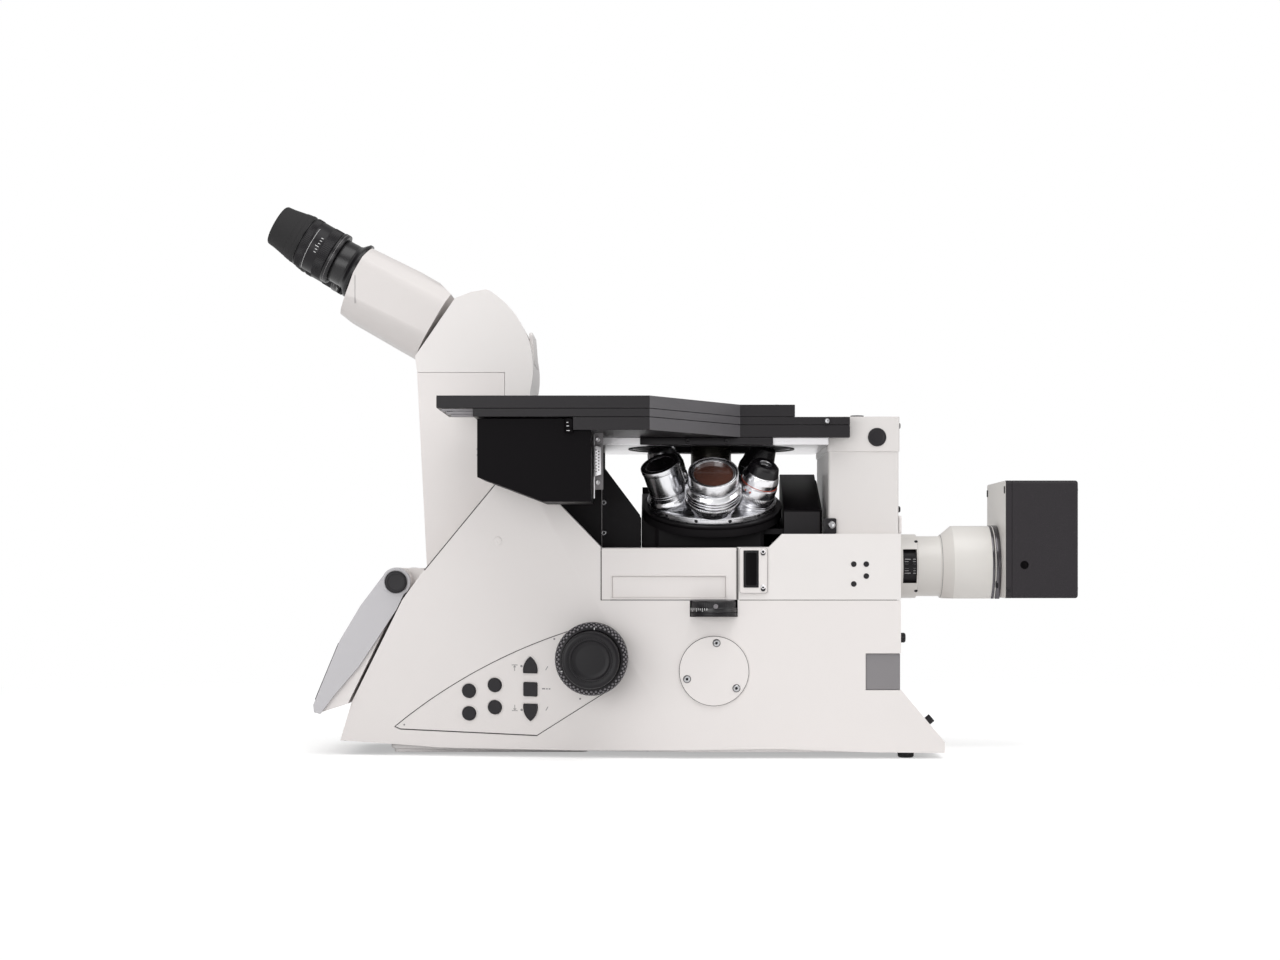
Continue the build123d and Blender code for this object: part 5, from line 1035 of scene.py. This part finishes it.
paper = bpy.data.materials.new("floor_paper")
paper.use_nodes = True
nodes, links = paper.node_tree.nodes, paper.node_tree.links
nodes.clear()
sheet = nodes.new("ShaderNodeBsdfDiffuse")
sheet.inputs["Color"].default_value = (0.82, 0.82, 0.82, 1)
lift = nodes.new("ShaderNodeEmission")
path = nodes.new("ShaderNodeLightPath")
seen = worked(paper.node_tree, "MAXIMUM", path.outputs["Is Camera Ray"], path.outputs["Is Glossy Ray"])
links.new(worked(paper.node_tree, "MULTIPLY", seen, 0.42), lift.inputs["Strength"])
both = nodes.new("ShaderNodeAddShader")
links.new(sheet.outputs[0], both.inputs[0])
links.new(lift.outputs[0], both.inputs[1])
white = nodes.new("ShaderNodeEmission")
spot = nodes.new("ShaderNodeTexCoord")
reach = nodes.new("ShaderNodeVectorMath")
reach.operation = "LENGTH"
links.new(spot.outputs["Object"], reach.inputs[0])
fade = nodes.new("ShaderNodeMapRange")
fade.interpolation_type = "SMOOTHSTEP"
fade.inputs["From Min"].default_value = 0.45
fade.inputs["From Max"].default_value = 1.3
links.new(reach.outputs["Value"], fade.inputs["Value"])
faded = nodes.new("ShaderNodeMixShader")
links.new(worked(paper.node_tree, "MULTIPLY", fade.outputs["Result"], seen), faded.inputs[0])
links.new(both.outputs[0], faded.inputs[1])
links.new(white.outputs[0], faded.inputs[2])
ground = nodes.new("ShaderNodeOutputMaterial")
links.new(faded.outputs[0], ground.inputs["Surface"])
floor_mesh.materials.append(paper)

world = bpy.data.worlds.new("studio")
scene.world = world
world.use_nodes = True
nodes, links = world.node_tree.nodes, world.node_tree.links
nodes.clear()
path = nodes.new("ShaderNodeLightPath")
seen = worked(world.node_tree, "MAXIMUM", path.outputs["Is Camera Ray"], path.outputs["Is Transmission Ray"])
ambient = nodes.new("ShaderNodeMapRange")
ambient.inputs["To Min"].default_value = 0.55
ambient.inputs["To Max"].default_value = 1.0
links.new(seen, ambient.inputs["Value"])
sky = nodes.new("ShaderNodeBackground")
sky.inputs["Color"].default_value = (1, 1, 1, 1)
links.new(ambient.outputs["Result"], sky.inputs["Strength"])
out = nodes.new("ShaderNodeOutputWorld")
links.new(sky.outputs[0], out.inputs["Surface"])


def softbox(name, place, target, size, power):
    data = bpy.data.lights.new(name, "AREA")
    data.shape = "RECTANGLE"
    data.size, data.size_y = size
    data.energy = power
    lamp = bpy.data.objects.new(name, data)
    scene.collection.objects.link(lamp)
    place, target = Vector(place), Vector(target)
    aim = (target - place).to_track_quat("-Z", "Y")
    lamp.matrix_world = Matrix.Translation(place) @ aim.to_matrix().to_4x4()


softbox("key_overhead", (0.3, -0.9, 2.1), (0, 0, 0.2), (2.2, 1.6), 24)
softbox("front_fill", (-1.0, -2.3, 0.45), (-0.1, 0, 0.15), (1.8, 1.2), 19)
softbox("right_fill", (2.2, -0.6, 0.8), (0.1, 0, 0.2), (1.2, 1.4), 8)

camera_data = bpy.data.cameras.new("camera")
camera_data.sensor_width = 36.0
camera_data.lens = 66.96
camera_data.shift_x = -0.015625
camera_data.shift_y = 0.06875
camera_data.clip_end = 50
camera = bpy.data.objects.new("camera", camera_data)
scene.collection.objects.link(camera)
camera.location = (-0.0088, -2.0, 0.152)
camera.rotation_euler = (pi / 2, 0, 0)
scene.camera = camera
scene.view_settings.view_transform = "Standard"
